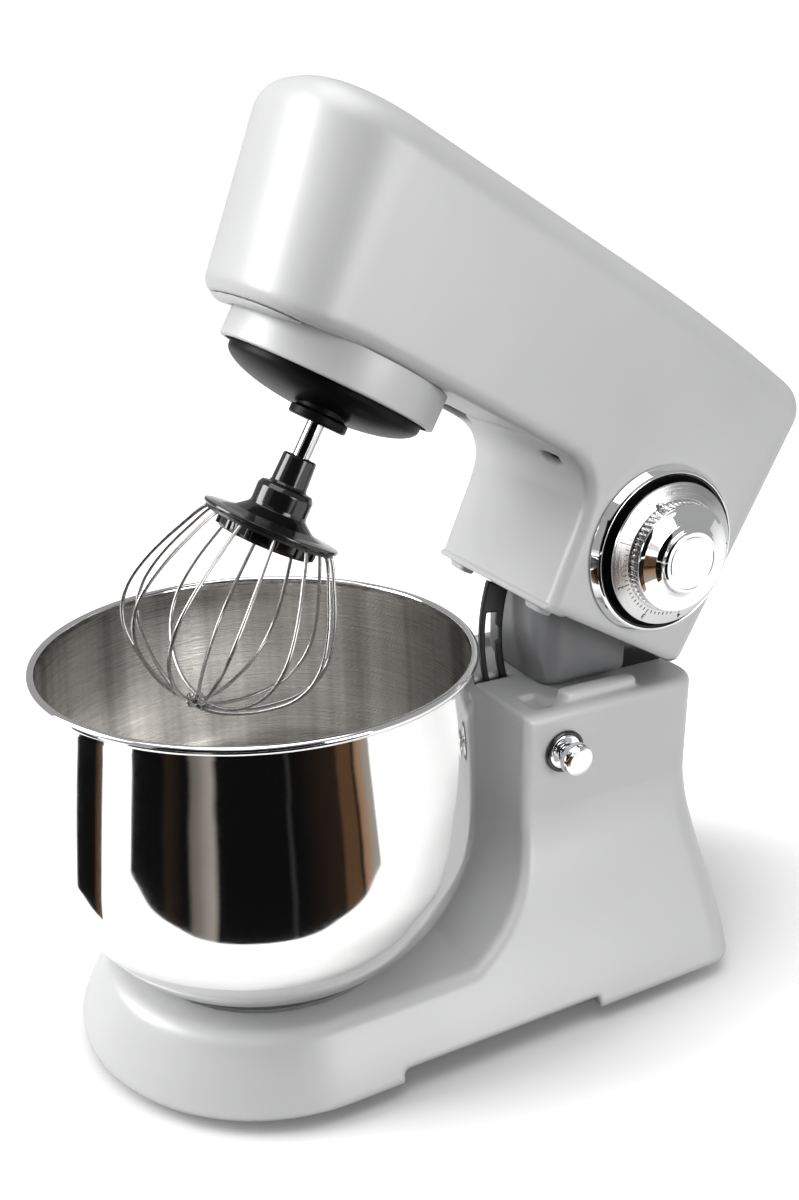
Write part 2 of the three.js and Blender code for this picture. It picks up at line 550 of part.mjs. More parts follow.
function motorFan() {
  const blades = Array.from({ length: 5 }, (_, i) =>
    block(6, 23, -0.8, 0.8, 311, 320).rotate([0, 0, (i * 360) / 5]));
  return union(tube(3.5, 8, 311, 320, 12), tube(3.5, 23, 310, 311.6, 16), ...blades);
}

function driveBelt() {
  const { bigPulleyR, smallPulleyR, pulleyZ, pulleyH, motorY } = DRIVE;
  const span = motorY - LAY_Y;
  const outline = (grow) => {
    const big = bigPulleyR + grow;
    const small = smallPulleyR + grow;
    const lean = Math.asin((big - small) / span);
    const shape = new THREE.Shape();
    shape.absarc(0, LAY_Y, big, Math.PI - lean, 2 * Math.PI + lean);
    shape.absarc(0, motorY, small, lean, Math.PI - lean);
    return shape;
  };
  const z0 = pulleyZ + GAP;
  const band = alongZ(outline(2.4), z0, z0 + pulleyH - 2 * GAP, 10);
  return cut(band, alongZ(outline(0.7), z0 - 5, z0 + 20, 10));
}

function headDeck() {
  const z1 = DECK.z + DECK.thick;
  const plate = alongZ(roundedRect(-50, 50, -52, 138, 20), DECK.z, z1, 5);
  const post = (x, y) => rod(4, z1 - 1, 324, 8).translate([x, y, 0]);
  const posts = [post(46, 20), post(-46, 20), post(38, 128), post(-38, 128)];
  const motorHole = rod(3.6, 240, 270).translate([0, DRIVE.motorY, 0]);
  return cut(union(plate, ...posts), rod(6 + GAP, 240, 270), motorHole);
}

// ---- whisk --------------------------------------------------------------------------------------
const PIN_Z = 189; // height of the bayonet pin that the whisk hangs from

function whiskHub() {
  const { sleeveTopZ, collarTopZ, discZ, drumZ, discR, drumR, boreR } = WHISK;
  const underDisc = discZ - 0.4;
  const drum = [[0, drumZ], [drumR - 1, drumZ], [drumR, drumZ + 1], [drumR, underDisc]];
  const disc = [[discR, underDisc], [discR, discZ + 1.6], [23, discZ + 2.8], [17, discZ + 6]];
  const collar = [[14.5, discZ + 8], [14.5, collarTopZ - 1], [13.5, collarTopZ]];
  const sleeve = [[9.2, collarTopZ + 0.4], [9, sleeveTopZ - 1], [8.2, sleeveTopZ], [boreR, sleeveTopZ]];
  return turned([...drum, ...disc, ...collar, ...sleeve, [boreR, drumZ + 19], [0, drumZ + 19]], 20);
}

function beaterShaft() {
  const crossPin = rod(1.2, -5.3, 5.3, 8).rotate([90, 0, 0]).translate([0, 0, PIN_Z]);
  return union(rod(PLANET.shaftR, PIN_Z - 19, 250, 20), crossPin);
}

// one loop goes down one side, through the tip and up the other side
function wireLoop() {
  const { discZ, bellyR, bellyZ, tipZ, wireR } = WHISK;
  const side = [[31, discZ - 2.6], [38.5, discZ - 12.5], [bellyR - 4.5, bellyZ + 18], [bellyR, bellyZ],
    [bellyR - 6, bellyZ - 21], [bellyR - 21, tipZ + 9], [14, tipZ + 2]];
  const down = side.map(([r, z]) => V3(r, 0, z));
  const up = side.slice().reverse().map(([r, z]) => V3(-r, 0, z));
  const path = new THREE.CatmullRomCurve3([...down, V3(0, 0, tipZ), ...up]);
  const corner = (i) => [wireR * Math.cos(i * 0.4 * Math.PI), wireR * Math.sin(i * 0.4 * Math.PI)];
  const section = polygon([0, 1, 2, 3, 4].map(corner));
  return solidOf(new THREE.ExtrudeGeometry(section, { steps: 18, extrudePath: path }));
}

function whiskWires() {
  const turn = 180 / WIRE_LOOPS;
  const loops = Array.from({ length: WIRE_LOOPS }, (_, i) => wireLoop().rotate([0, 0, i * turn]));
  const socket = tube(WHISK.drumR + GAP, 34, WHISK.discZ - 3, WHISK.discZ - 0.4 - GAP, 36);
  return union(socket, rod(4, WHISK.tipZ - 2, WHISK.tipZ + 2.5, 12), ...loops);
}

function buildWhisk() {
  const gear = externalGear(GEARS.planet, 239, 247, PLANET.angle);
  add(drive, 'planet_gear', atPlanet(cut(gear, rod(PLANET.shaftR + GAP, 230, 260))), NYLON);
  add(drive, 'beater_shaft', atPlanet(beaterShaft()), CHROME);
  const hung = new THREE.Group(); // turned about the bayonet pin
  hung.position.set(planetX, planetY, PIN_Z);
  hung.rotation.x = WHISK_SAG;
  drive.add(hung);
  const fromPin = (solid) => solid.translate([0, 0, -PIN_Z]);
  add(hung, 'whisk_hub', fromPin(whiskHub()), BLACK_GLOSS);
  add(hung, 'whisk_wires', fromPin(whiskWires()), STEEL);
}

// ---- speed dial ---------------------------------------------------------------------------------
function buildDial() {
  const atDial = (solid) => toX(solid).translate([0, DIAL.y, DIAL.z]);
  const { bezelR, skirtR, knobR, capR, faceX } = DIAL;
  const wall = HEAD.halfWidth + GAP;
  const ring = turned([[10, wall], [bezelR, wall], [bezelR, wall + 1.5], [bezelR - 3.5, wall + 6],
    [bezelR - 6, wall + 5.4], [bezelR - 6.5, wall + 1.2], [10, wall + 1.2], [10, wall]], 28);
  add(level, 'dial_bezel', atDial(ring), CHROME);
  const scaleX = 66;
  const gripX = scaleX + 3;
  const scale = turned([[0, scaleX], [skirtR, scaleX], [skirtR, gripX - 1], [skirtR - 1, gripX],
    [0, gripX]], 36);
  add(level, 'dial_skirt', atDial(scale), CHROME);
  const grip = turned([[0, gripX + GAP], [knobR, gripX + GAP], [knobR, 78], [knobR - 1.5, 80], [25, 82.5],
    [20.5, 86], [capR, 86.5], [capR, faceX - 0.6], [capR - 1, faceX], [0, faceX]], 28);
  add(level, 'dial_knob', atDial(grip), CHROME);
  add(level, 'dial_shaft', atDial(rod(4, 47, scaleX - GAP, 16)), STEEL);
  const half = 14;
  const box = block(44, 57, DIAL.y - half, DIAL.y + half, DIAL.z - half, DIAL.z + half);
  const body = union(box, atDial(rod(8, 50, 61, 24)));
  add(level, 'speed_switch', cut(body, atDial(rod(4 + GAP, 45, 80, 20))), BLACK_MATT);
}

// ---- bowl ----------------------------------------------------------------------------------------
function bowlProfile() {
  const { bottomZ, sheet } = BOWL;
  const { radius, z, bead } = RIM;
  const wall = [[76, 53], [89.5, 60.5], [102, 75.5], [112, 95.5], [117.4, 120], [117.8, 140], [117.5, 160],
    [116.3, 185], [114.4, 212]];
  const outerBead = [[radius - 0.8, z - 2.6], [radius, z - 0.6], [radius - 0.4, z + 1.2],
    [radius - bead, z + 2]];
  // the sheet is measured along the radius at the rim and along the axis at the bottom
  const share = (i) => (i / (wall.length + 1)) * (sheet / 2);
  const inside = wall.slice().reverse().map(([r, h], i) => [r - sheet, h + share(i)]);
  return [[0, bottomZ], [60, bottomZ], ...wall, ...outerBead, ...inside,
    [60 - sheet, bottomZ + sheet], [0, bottomZ + sheet]];
}

function buildBowl() {
  add(mixer, 'bowl', turned(bowlProfile(), 36), STEEL);
  const z = SEAT.recessZ + 2 * GAP + 1.1;
  const ring = tube(46, 52, z, BOWL.bottomZ - GAP, 28);
  const tongue = (turn) => block(50, 57, -7, 7, z, z + 1.9).rotate([0, 0, turn]);
  add(mixer, 'bowl_foot', union(ring, tongue(30), tongue(150), tongue(270)), STEEL);
}

buildBase();
buildHinge();
buildLatch();
buildHeadCovers();
buildDrive();
buildWhisk();
buildDial();
buildBowl();

// the origin is the middle of the underside of the whole mixer
mixer.updateMatrixWorld(true);
const box = new THREE.Box3().setFromObject(mixer, true);
const origin = box.getCenter(V3(0, 0, 0)).setX(0).setZ(box.min.z);
mixer.position.copy(origin.negate());

export default mixer;
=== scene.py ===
"""Looks of a tilt-head stand mixer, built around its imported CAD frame.

Shapes are drawn in millimetres. Base pieces use the level frame: bowl axis at x = y = 0, z up.
Head pieces use the same level frame, as they lie when the head is closed; HEAD tilts them open.
"""
import math

import bmesh
import bpy
import numpy as np
from mathutils import Matrix, Vector


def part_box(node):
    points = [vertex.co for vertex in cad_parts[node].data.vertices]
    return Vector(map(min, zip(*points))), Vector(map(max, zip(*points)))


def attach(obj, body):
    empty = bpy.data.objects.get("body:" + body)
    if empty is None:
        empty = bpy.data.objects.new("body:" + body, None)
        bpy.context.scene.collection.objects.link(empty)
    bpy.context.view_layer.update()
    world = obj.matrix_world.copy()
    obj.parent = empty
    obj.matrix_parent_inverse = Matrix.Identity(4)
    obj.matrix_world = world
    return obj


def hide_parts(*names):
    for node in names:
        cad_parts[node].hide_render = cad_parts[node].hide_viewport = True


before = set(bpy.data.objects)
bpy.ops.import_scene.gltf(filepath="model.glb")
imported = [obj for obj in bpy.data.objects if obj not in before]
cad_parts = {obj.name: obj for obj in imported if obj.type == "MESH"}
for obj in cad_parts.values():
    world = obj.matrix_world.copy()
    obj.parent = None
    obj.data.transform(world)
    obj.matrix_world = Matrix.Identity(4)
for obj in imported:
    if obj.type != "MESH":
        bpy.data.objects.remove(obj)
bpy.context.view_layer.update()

MM = 0.001
TILT = math.radians(29)

# driving dimensions, as in the CAD source
HINGE_Y, HINGE_Z = 256.0, 199.0
SLAB_R, SLAB_BOTTOM, SLAB_TOP, SLAB_INSET, REAR_Y = 107.0, 5.5, 44.0, 17.0, 258.0
COLUMN_HALF, COLUMN_FRONT, COLUMN_TOP = 60.0, 132.0, 171.5
HEAD_HALF, HEAD_TOP, NOSE_Y, SHOULDER_Y, NOSE_LEAN = 61.0, 354.0, -92.0, -34.0, 0.16
NECK_BOTTOM, HEAD_REAR = 173.9, 256.0
AXIS_Y = -3.5
PLANET_X, PLANET_Y = 24 * math.cos(math.radians(-18)), 24 * math.sin(math.radians(-18)) + AXIS_Y
PIN_Z, SAG = 189.0, math.radians(1.5)
SKIRT_R, SKIRT_BOTTOM = 58.6, 232.5
DIAL_Y, DIAL_Z = 193.2, 230.0
LATCH_Y = HINGE_Y - 111.5 * math.cos(math.radians(28))
LATCH_Z = HINGE_Z - 111.5 * math.sin(math.radians(28))


# ---------------------------------------------------------------- frames
def middle(node):
    low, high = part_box(node)
    return (low + high) / 2 / MM


def shift(x, y, z):
    return Matrix.Translation(Vector((x, y, z)) * MM)


pin = middle("hinge_pin")
BASE = shift(0, pin.y - HINGE_Y, pin.z - HINGE_Z)
HEAD = shift(0, pin.y, pin.z) @ Matrix.Rotation(-TILT, 4, "X") @ shift(0, -HINGE_Y, -HINGE_Z)
ALONG_X = Matrix.Rotation(math.pi / 2, 4, "Y")


# ---------------------------------------------------------------- mesh helpers
def ride_along(name, mesh, material, body, place, stands_for):
    """An object from a finished mesh, placed in the row frame and riding on a CAD body."""
    mesh.materials.append(material)
    obj = bpy.data.objects.new(name, mesh)
    bpy.context.scene.collection.objects.link(obj)
    obj.matrix_world = place
    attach(obj, body)
    if stands_for:
        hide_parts(*stands_for)
    return obj


def add_piece(name, part, material, body, place, stands_for=(), smooth=True):
    """A piece from (vertices in mm, faces)."""
    verts, faces = part
    mesh = bpy.data.meshes.new(name)
    points = [tuple(float(c) * MM for c in v) for v in verts]
    mesh.from_pydata(points, [], [tuple(int(i) for i in f) for f in faces])
    mesh.validate()
    mesh.polygons.foreach_set("use_smooth", [smooth] * len(mesh.polygons))
    return ride_along(name, mesh, material, body, place, stands_for)


def crease(obj, degrees):
    """Hard edges stay crisp where two faces meet at more than this angle."""
    bm = bmesh.new()
    bm.from_mesh(obj.data)
    bmesh.ops.recalc_face_normals(bm, faces=bm.faces[:])
    for edge in bm.edges:
        if len(edge.link_faces) == 2 and edge.calc_face_angle(0) > math.radians(degrees):
            edge.smooth = False
    bm.to_mesh(obj.data)
    bm.free()
    return obj


def creased(name, part, material, body, place, stands_for=(), degrees=35):
    """A piece from (vertices in mm, faces) whose sharp edges stay crisp."""
    return crease(add_piece(name, part, material, body, place, stands_for), degrees)


def bevel(obj, width, segments, degrees):
    mod = obj.modifiers.new("bevel", "BEVEL")
    mod.width = width * MM
    mod.segments = segments
    mod.limit_method = "ANGLE"
    mod.angle_limit = math.radians(degrees)
    mod.harden_normals = True


def fillet(points, steps=6):
    """A line of (a, b) or (a, b, radius) points with each radius turned into an arc."""
    out = []
    count = len(points)
    for i, p in enumerate(points):
        radius = p[2] if len(p) > 2 else 0
        here = Vector(p[:2])
        if radius <= 0 or i in (0, count - 1):
            out.append(tuple(here))
            continue
        before, after = Vector(points[i - 1][:2]) - here, Vector(points[i + 1][:2]) - here
        half = before.angle(after) / 2
        back = min(radius / math.tan(half), 0.48 * before.length, 0.48 * after.length)
        a, b = here + before.normalized() * back, here + after.normalized() * back
        for k in range(steps + 1):
            t = k / steps
            out.append(tuple(a * (1 - t) ** 2 + here * 2 * t * (1 - t) + b * t * t))
    return out


def spline(points, steps=8):
    """A smooth line through (a, b) points."""
    pts = [Vector(p) for p in points]
    pts = [2 * pts[0] - pts[1], *pts, 2 * pts[-1] - pts[-2]]
    out = []
    for i in range(1, len(pts) - 2):
        p0, p1, p2, p3 = pts[i - 1:i + 3]
        for k in range(steps):
            t = k / steps
            out.append(0.5 * (2 * p1 + (p2 - p0) * t + (2 * p0 - 5 * p1 + 4 * p2 - p3) * t * t
                              + (3 * p1 - p0 - 3 * p2 + p3) * t ** 3))
    out.append(pts[-2])
    return [tuple(p) for p in out]


def lathe_mesh(profile, segments=96, closed=False, radius_of=None):
    """A profile of (r, z) turned about Z. radius_of may ripple the radius by angle."""
    rings, verts, faces = [], [], []
    for r, z in profile:
        if r < 1e-6:
            rings.append([len(verts)])
            verts.append((0, 0, z))
            continue
        rings.append(list(range(len(verts), len(verts) + segments)))
        for k in range(segments):
            a = 2 * math.pi * k / segments
            rr = radius_of(r, z, a) if radius_of else r
            verts.append((rr * math.cos(a), rr * math.sin(a), z))
    pairs = list(zip(rings, rings[1:]))
    if closed:
        pairs.append((rings[-1], rings[0]))
    for low, high in pairs:
        for k in range(segments):
            n = (k + 1) % segments
            quad = [low[k % len(low)], low[n % len(low)], high[n % len(high)], high[k % len(high)]]
            face = list(dict.fromkeys(quad))
            if len(face) > 2:
                faces.append(face)
    return verts, faces


def lathe(name, profile, material, body, place, segments=96, closed=False, stands_for=(),
          radius_of=None):
    turned = lathe_mesh(profile, segments, closed, radius_of)
    return creased(name, turned, material, body, place, stands_for, 40)


def merged(parts):
    """Several (vertices, faces) as one."""
    verts, faces = [], []
    for v, f in parts:
        base = len(verts)
        verts += list(v)
        faces += [[i + base for i in face] for face in f]
    return verts, faces


def moved(part, matrix):
    verts, faces = part
    return [tuple(matrix @ Vector(v)) for v in verts], faces


def prism(outline, low, high):
    """An outline in (a, b), extruded along the third axis."""
    n = len(outline)
    verts = [(a, b, low) for a, b in outline] + [(a, b, high) for a, b in outline]
    faces = [list(range(n))[::-1], list(range(n, 2 * n))]
    faces += [[i, (i + 1) % n, (i + 1) % n + n, i + n] for i in range(n)]
    return verts, faces


def rounded_box(x0, x1, y0, y1, r, steps=5):
    """Outline of a rectangle with rounded corners."""
    out = []
    corners = ((x1 - r, y0 + r, -90), (x1 - r, y1 - r, 0), (x0 + r, y1 - r, 90), (x0 + r, y0 + r, 180))
    for cx, cy, start in corners:
        for k in range(steps + 1):
            a = math.radians(start + 90 * k / steps)
            out.append((cx + r * math.cos(a), cy + r * math.sin(a)))
    return out


def tube_mesh(points, radius, sides=10, closed=False):
    """A round tube along a line of 3-D points, with capped ends."""
    pts = [Vector(p) for p in points]
    count = len(pts)
    verts, faces = [], []
    normal = None
    for i, p in enumerate(pts):
        a = pts[i - 1] if (i or closed) else p
        b = pts[(i + 1) % count] if (i < count - 1 or closed) else p
        along = (b - a).normalized()
        if normal is None:
            normal = along.orthogonal().normalized()
        normal = (normal - along * normal.dot(along)).normalized()
        side = along.cross(normal)
        for k in range(sides):
            t = 2 * math.pi * k / sides
            verts.append(tuple(p + radius * (math.cos(t) * normal + math.sin(t) * side)))
    for i in range(count if closed else count - 1):
        j = (i + 1) % count
        for k in range(sides):
            n = (k + 1) % sides
            faces.append([i * sides + k, i * sides + n, j * sides + n, j * sides + k])
    if not closed:
        faces += [list(range(sides))[::-1], list(range((count - 1) * sides, count * sides))]
    return verts, faces


# ---------------------------------------------------------------- smooth solids from distance fields
def ease(t):
    t = np.clip(t, 0, 1)
    return t * t * (3 - 2 * t)


def both(a, b, r):
    """What a and b share, with edges rounded to radius r."""
    return np.minimum(-r, np.maximum(a, b)) + np.hypot(np.maximum(a + r, 0), np.maximum(b + r, 0))


def either(a, b, r):
    """a and b together, with the corner between them filled to radius r."""
    return np.maximum(r, np.minimum(a, b)) - np.hypot(np.maximum(r - a, 0), np.maximum(r - b, 0))


def without(a, b, r):
    return both(a, -b, r)


def inside_line(outline):
    """Distance field of a closed outline in a plane, negative inside."""
    pts = [np.array(p, float) for p in outline]

    def field(a, b):
        a, b = np.broadcast_arrays(a, b)
        best = np.full(a.shape, 1e18)
        odd = np.zeros(a.shape, bool)
        for p, q in zip(pts, pts[1:] + pts[:1]):
            e = q - p
            wa, wb = a - p[0], b - p[1]
            t = np.clip((wa * e[0] + wb * e[1]) / (e @ e), 0, 1)
            best = np.minimum(best, (wa - t * e[0]) ** 2 + (wb - t * e[1]) ** 2)
            if e[1]:
                crosses = (p[1] > b) != (q[1] > b)
                odd ^= crosses & (a < p[0] + (b - p[1]) * e[0] / e[1])
        return np.where(odd, -1, 1) * np.sqrt(best)

    return field


def box_field(x, y, z, low, high, r=0.0):
    c, h = (np.array(low) + np.array(high)) / 2, (np.array(high) - np.array(low)) / 2 - r
    d = [np.abs(v - c[i]) - h[i] for i, v in enumerate((x, y, z))]
    outside = np.sqrt(sum(np.maximum(v, 0) ** 2 for v in d))
    return outside + np.minimum(np.maximum(np.maximum(d[0], d[1]), d[2]), 0) - r


def net(field, low, high, step):
    """A closed quad mesh of the surface where the field is zero."""
    axes = [np.arange(lo, hi + step, step) for lo, hi in zip(low, high)]
    nx, ny, nz = (len(a) for a in axes)
    x, y, z = axes[0][:, None, None], axes[1][None, :, None], axes[2][None, None, :]
    value = np.broadcast_to(field(x, y, z), (nx, ny, nz)).astype(np.float64)
    inside = value < 0
    corners = [(i, j, k) for i in (0, 1) for j in (0, 1) for k in (0, 1)]

    def at(array, c):
        return array[c[0]:nx - 1 + c[0], c[1]:ny - 1 + c[1], c[2]:nz - 1 + c[2]]

    count = sum(at(inside, c).astype(np.int8) for c in corners)
    active = (count > 0) & (count < 8)
    cells = np.argwhere(active)
    index = np.full(active.shape, -1, np.int64)
    index[active] = np.arange(len(cells))
    total, hits = np.zeros((len(cells), 3)), np.zeros(len(cells))
    for a in corners:
        for axis in range(3):
            if a[axis]:
                continue
            b = tuple(1 if i == axis else v for i, v in enumerate(a))
            va, vb = at(value, a)[active], at(value, b)[active]
            cross = (va < 0) != (vb < 0)
            t = np.where(cross, va / np.where(cross, va - vb, 1), 0)
            point = np.array(a, float)[None, :].repeat(len(cells), 0)
            point[:, axis] += t
            total += point * cross[:, None]
            hits += cross
    verts = np.array(low, float) + (cells + total / hits[:, None]) * step
    eps = 0.02
    nudges = np.eye(3)[:, :, None] * eps
    for _ in range(4):
        p = verts.T
        here = field(*p)
        grad = np.stack([(field(*(p + n)) - field(*(p - n))) / (2 * eps) for n in nudges], 1)
        push = grad * (here / np.maximum((grad ** 2).sum(1), 0.05))[:, None]
        verts = verts - np.clip(push, -step * 0.6, step * 0.6)
    faces = []
    for axis in range(3):
        u, v = [i for i in range(3) if i != axis]
        if axis == 1:
            u, v = v, u
        lead = [slice(None)] * 3
        tail = [slice(None)] * 3
        lead[axis], tail[axis] = slice(0, -1), slice(1, None)
        a, b = inside[tuple(lead)], inside[tuple(tail)]
        for flip, where in ((False, a & ~b), (True, ~a & b)):
            at_edge = np.argwhere(where)
            keep = (at_edge[:, u] > 0) & (at_edge[:, v] > 0)
            keep &= (at_edge[:, u] < inside.shape[u] - 1) & (at_edge[:, v] < inside.shape[v] - 1)
            at_edge = at_edge[keep]
            ring = []
            for du, dv in ((-1, -1), (0, -1), (0, 0), (-1, 0)):
                cell = at_edge.copy()
                cell[:, u] += du
                cell[:, v] += dv
                ring.append(index[cell[:, 0], cell[:, 1], cell[:, 2]])
            quads = np.stack(ring, 1)
            faces.append(quads[:, ::-1] if flip else quads)
    return verts, np.concatenate(faces)


def solid_piece(name, field, low, high, step, material, body, place, stands_for=()):
    """A smooth piece from a distance field in mm, sampled between two corners."""
    verts, faces = net(field, low, high, step)
    mesh = bpy.data.meshes.new(name)
    mesh.vertices.add(len(verts))
    mesh.vertices.foreach_set("co", (verts * MM).astype(np.float32).ravel())
    mesh.loops.add(faces.size)
    mesh.loops.foreach_set("vertex_index", faces.astype(np.int32).ravel())
    mesh.polygons.add(len(faces))
    mesh.polygons.foreach_set("loop_start", np.arange(0, faces.size, 4, dtype=np.int32))
    mesh.polygons.foreach_set("use_smooth", [True] * len(faces))
    mesh.update(calc_edges=True)
    return ride_along(name, mesh, material, body, place, stands_for)


# ---------------------------------------------------------------- materials
def shader(name, color, roughness, metallic=0.0, **extra):
    mat = bpy.data.materials.new(name)
    mat.use_nodes = True
    node = mat.node_tree.nodes["Principled BSDF"]
    node.inputs["Base Color"].default_value = (*color, 1)
    node.inputs["Roughness"].default_value = roughness
    node.inputs["Metallic"].default_value = metallic
    for key, value in extra.items():
        node.inputs[key.replace("_", " ")].default_value = value
    return mat, mat.node_tree, node


def link(tree, out, to):
    tree.links.new(out, to)


VECTOR = "ShaderNodeVectorMath"


def maths(tree, operation, *values, kind="ShaderNodeMath"):
    """A maths node. A socket among the values is linked, and a number is set."""
    node = tree.nodes.new(kind)
    node.operation = operation
    for socket, value in zip(node.inputs, values):
        if isinstance(value, bpy.types.NodeSocket):
            link(tree, value, socket)
        else:
            socket.default_value = value
    return node


def coords(tree, scale):
    """Object coordinates, scaled per axis."""
    where = tree.nodes.new("ShaderNodeTexCoord")
    mapping = tree.nodes.new("ShaderNodeMapping")
    mapping.inputs["Scale"].default_value = scale if hasattr(scale, "__len__") else (scale,) * 3
    link(tree, where.outputs["Object"], mapping.inputs["Vector"])
    return mapping.outputs["Vector"]


def noise(tree, vector, scale, detail=4.0, rough=0.5):
    node = tree.nodes.new("ShaderNodeTexNoise")
    node.inputs["Scale"].default_value = scale
    node.inputs["Detail"].default_value = detail
    node.inputs["Roughness"].default_value = rough
    link(tree, vector, node.inputs["Vector"])
    return node.outputs["Fac"]


def spread(tree, value, low, high, start=0.3, end=0.7):
    """A value from a texture, mapped to a range."""
    node = tree.nodes.new("ShaderNodeMapRange")
    for key, number in (("From Min", start), ("From Max", end), ("To Min", low), ("To Max", high)):
        node.inputs[key].default_value = number
    link(tree, value, node.inputs["Value"])
    return node.outputs["Result"]


def tint(tree, node, value, dark, light):
    """Base colour between two shades by a texture value."""
    mix = tree.nodes.new("ShaderNodeMix")
    mix.data_type = "RGBA"
    mix.inputs["A"].default_value = (*dark, 1)
    mix.inputs["B"].default_value = (*light, 1)
    link(tree, value, mix.inputs["Factor"])
    link(tree, mix.outputs["Result"], node.inputs["Base Color"])


def relief(tree, node, value, strength, depth):
    bump = tree.nodes.new("ShaderNodeBump")
    bump.inputs["Strength"].default_value = strength
    bump.inputs["Distance"].default_value = depth * MM
    link(tree, value, bump.inputs["Height"])
    link(tree, bump.outputs["Normal"], node.inputs["Normal"])


def painted(name, dark, light, roughness, metallic=0.15, coat=0.12, flake=0.06):
    """Satin metallic paint: fine flakes, a faint orange peel and slow changes of tone."""
    mat, tree, node = shader(name, light, roughness, metallic, Coat_Weight=coat, Coat_Roughness=0.28)
    where = coords(tree, 1.0)
    slow = noise(tree, where, 9, 2)
    tint(tree, node, spread(tree, slow, 0, 1), dark, light)
    flakes = noise(tree, where, 2600, 1)
    link(tree, spread(tree, flakes, roughness - 0.05, roughness + 0.06), node.inputs["Roughness"])
    peel = noise(tree, where, 420, 2)
    relief(tree, node, peel, flake, 0.05)
    return mat


def moulded(name, dark, light, roughness, grain=900, strength=0.12, coat=0.0, specular=0.5):
    """Moulded plastic or rubber with a fine tool grain."""
    mat, tree, node = shader(name, light, roughness, 0, Coat_Weight=coat, Coat_Roughness=0.08,
                             Specular_IOR_Level=specular)
    where = coords(tree, 1.0)
    slow = noise(tree, where, 30, 3)
    tint(tree, node, spread(tree, slow, 0, 1), dark, light)
    fine = noise(tree, where, grain, 2)
    link(tree, spread(tree, fine, roughness * 0.85, min(1, roughness * 1.2)), node.inputs["Roughness"])
    relief(tree, node, fine, strength, 0.04)
    return mat


def polished(name, color, roughness, scratch=0.03):
    """Chrome or polished steel with hairline polishing marks."""
    mat, tree, node = shader(name, color, roughness, 1.0)
    where = coords(tree, (1, 1, 6))
    marks = noise(tree, where, 350, 3)
    link(tree, spread(tree, marks, roughness * 0.7, roughness * 1.5), node.inputs["Roughness"])
    slow = noise(tree, coords(tree, 1.0), 40, 2)
    tint(tree, node, spread(tree, slow, 0, 1), [c * 0.96 for c in color], color)
    relief(tree, node, marks, scratch, 0.01)
    return mat


def ring_lines(tree, density):
    """A texture of circular lines about the object's Z axis, as a lathe or a spinning brush leaves."""
    where = tree.nodes.new("ShaderNodeTexCoord")
    parts = tree.nodes.new("ShaderNodeSeparateXYZ")
    link(tree, where.outputs["Object"], parts.inputs["Vector"])
    flat = tree.nodes.new("ShaderNodeCombineXYZ")
    link(tree, parts.outputs["X"], flat.inputs["X"])
    link(tree, parts.outputs["Y"], flat.inputs["Y"])
    radius = maths(tree, "LENGTH", flat.outputs["Vector"], kind=VECTOR)
    angle = maths(tree, "ARCTAN2", parts.outputs["Y"], parts.outputs["X"])
    joined = tree.nodes.new("ShaderNodeCombineXYZ")
    for source, scale, to in ((radius.outputs["Value"], density, "X"), (parts.outputs["Z"], density, "Y"),
                              (angle.outputs["Value"], 2.0, "Z")):
        link(tree, maths(tree, "MULTIPLY", source, scale).outputs["Value"], joined.inputs[to])
    return joined.outputs["Vector"]


def around(tree):
    """The bearing of a point about the object's Z axis, for the painted reflection bands that vary only round
    it.
    """
    where = tree.nodes.new("ShaderNodeTexCoord")
    flat = maths(tree, "MULTIPLY", where.outputs["Object"], (1, 1, 0), kind=VECTOR)
    return maths(tree, "NORMALIZE", flat.outputs["Vector"], kind=VECTOR).outputs["Vector"]


def brushed(name, color, roughness, density=900, strength=0.25, turn=0.6, painted_reflection_bands=False):
    """Steel brushed in circles, with the stretched highlight that goes with it."""
    mat, tree, node = shader(name, color, roughness, 1.0, Anisotropic=turn)
    lines = noise(tree, ring_lines(tree, density), 1.0, 3, 0.6)
    link(tree, spread(tree, lines, roughness * 0.75, roughness * 1.3), node.inputs["Roughness"])
    tint(tree, node, spread(tree, lines, 0, 1), [c * 0.92 for c in color], color)
    # When asked, the base colour is darkened in broad bands round the Z axis: painted reflection bands that
    # stand in for the dark and bright streaks the steel reflects.
    if painted_reflection_bands:
        painted_bands = spread(tree, noise(tree, around(tree), 3.8, 3, 0.6), 0.5, 1.0, 0.38, 0.60)
        shade = tree.nodes.new(VECTOR)
        shade.operation = "SCALE"
        link(tree, node.inputs["Base Color"].links[0].from_socket, shade.inputs[0])
        link(tree, painted_bands, shade.inputs["Scale"])
        link(tree, shade.outputs["Vector"], node.inputs["Base Color"])
    tangent = tree.nodes.new("ShaderNodeTangent")
    tangent.direction_type = "RADIAL"
    tangent.axis = "Z"
    link(tree, tangent.outputs["Tangent"], node.inputs["Tangent"])
    relief(tree, node, lines, strength, 0.02)
    return mat


PAINT = painted("satin_silver_paint", (0.58, 0.582, 0.588), (0.63, 0.632, 0.638), 0.42, metallic=0.1)
NECK = moulded("grey_moulding", (0.155, 0.157, 0.162), (0.19, 0.192, 0.197), 0.42, strength=0.08)
GLOSS = moulded("black_gloss", (0.004, 0.004, 0.004), (0.011, 0.011, 0.011), 0.14, 500, 0.03, coat=0.3)
DOME_BLACK = moulded("black_dome", (0.002, 0.002, 0.002), (0.005, 0.005, 0.005), 0.4, 1500, 0.01,
                     specular=0.12)
SATIN_BLACK = moulded("black_satin", (0.008, 0.008, 0.008), (0.018, 0.018, 0.018), 0.38, 700, 0.1)
RUBBER = moulded("black_rubber", (0.012, 0.012, 0.012), (0.03, 0.03, 0.03), 0.78, 700, 0.3)
CHROME = polished("polished_chrome", (0.93, 0.935, 0.94), 0.045)
MIRROR_STEEL = polished("polished_steel", (0.86, 0.86, 0.855), 0.06)
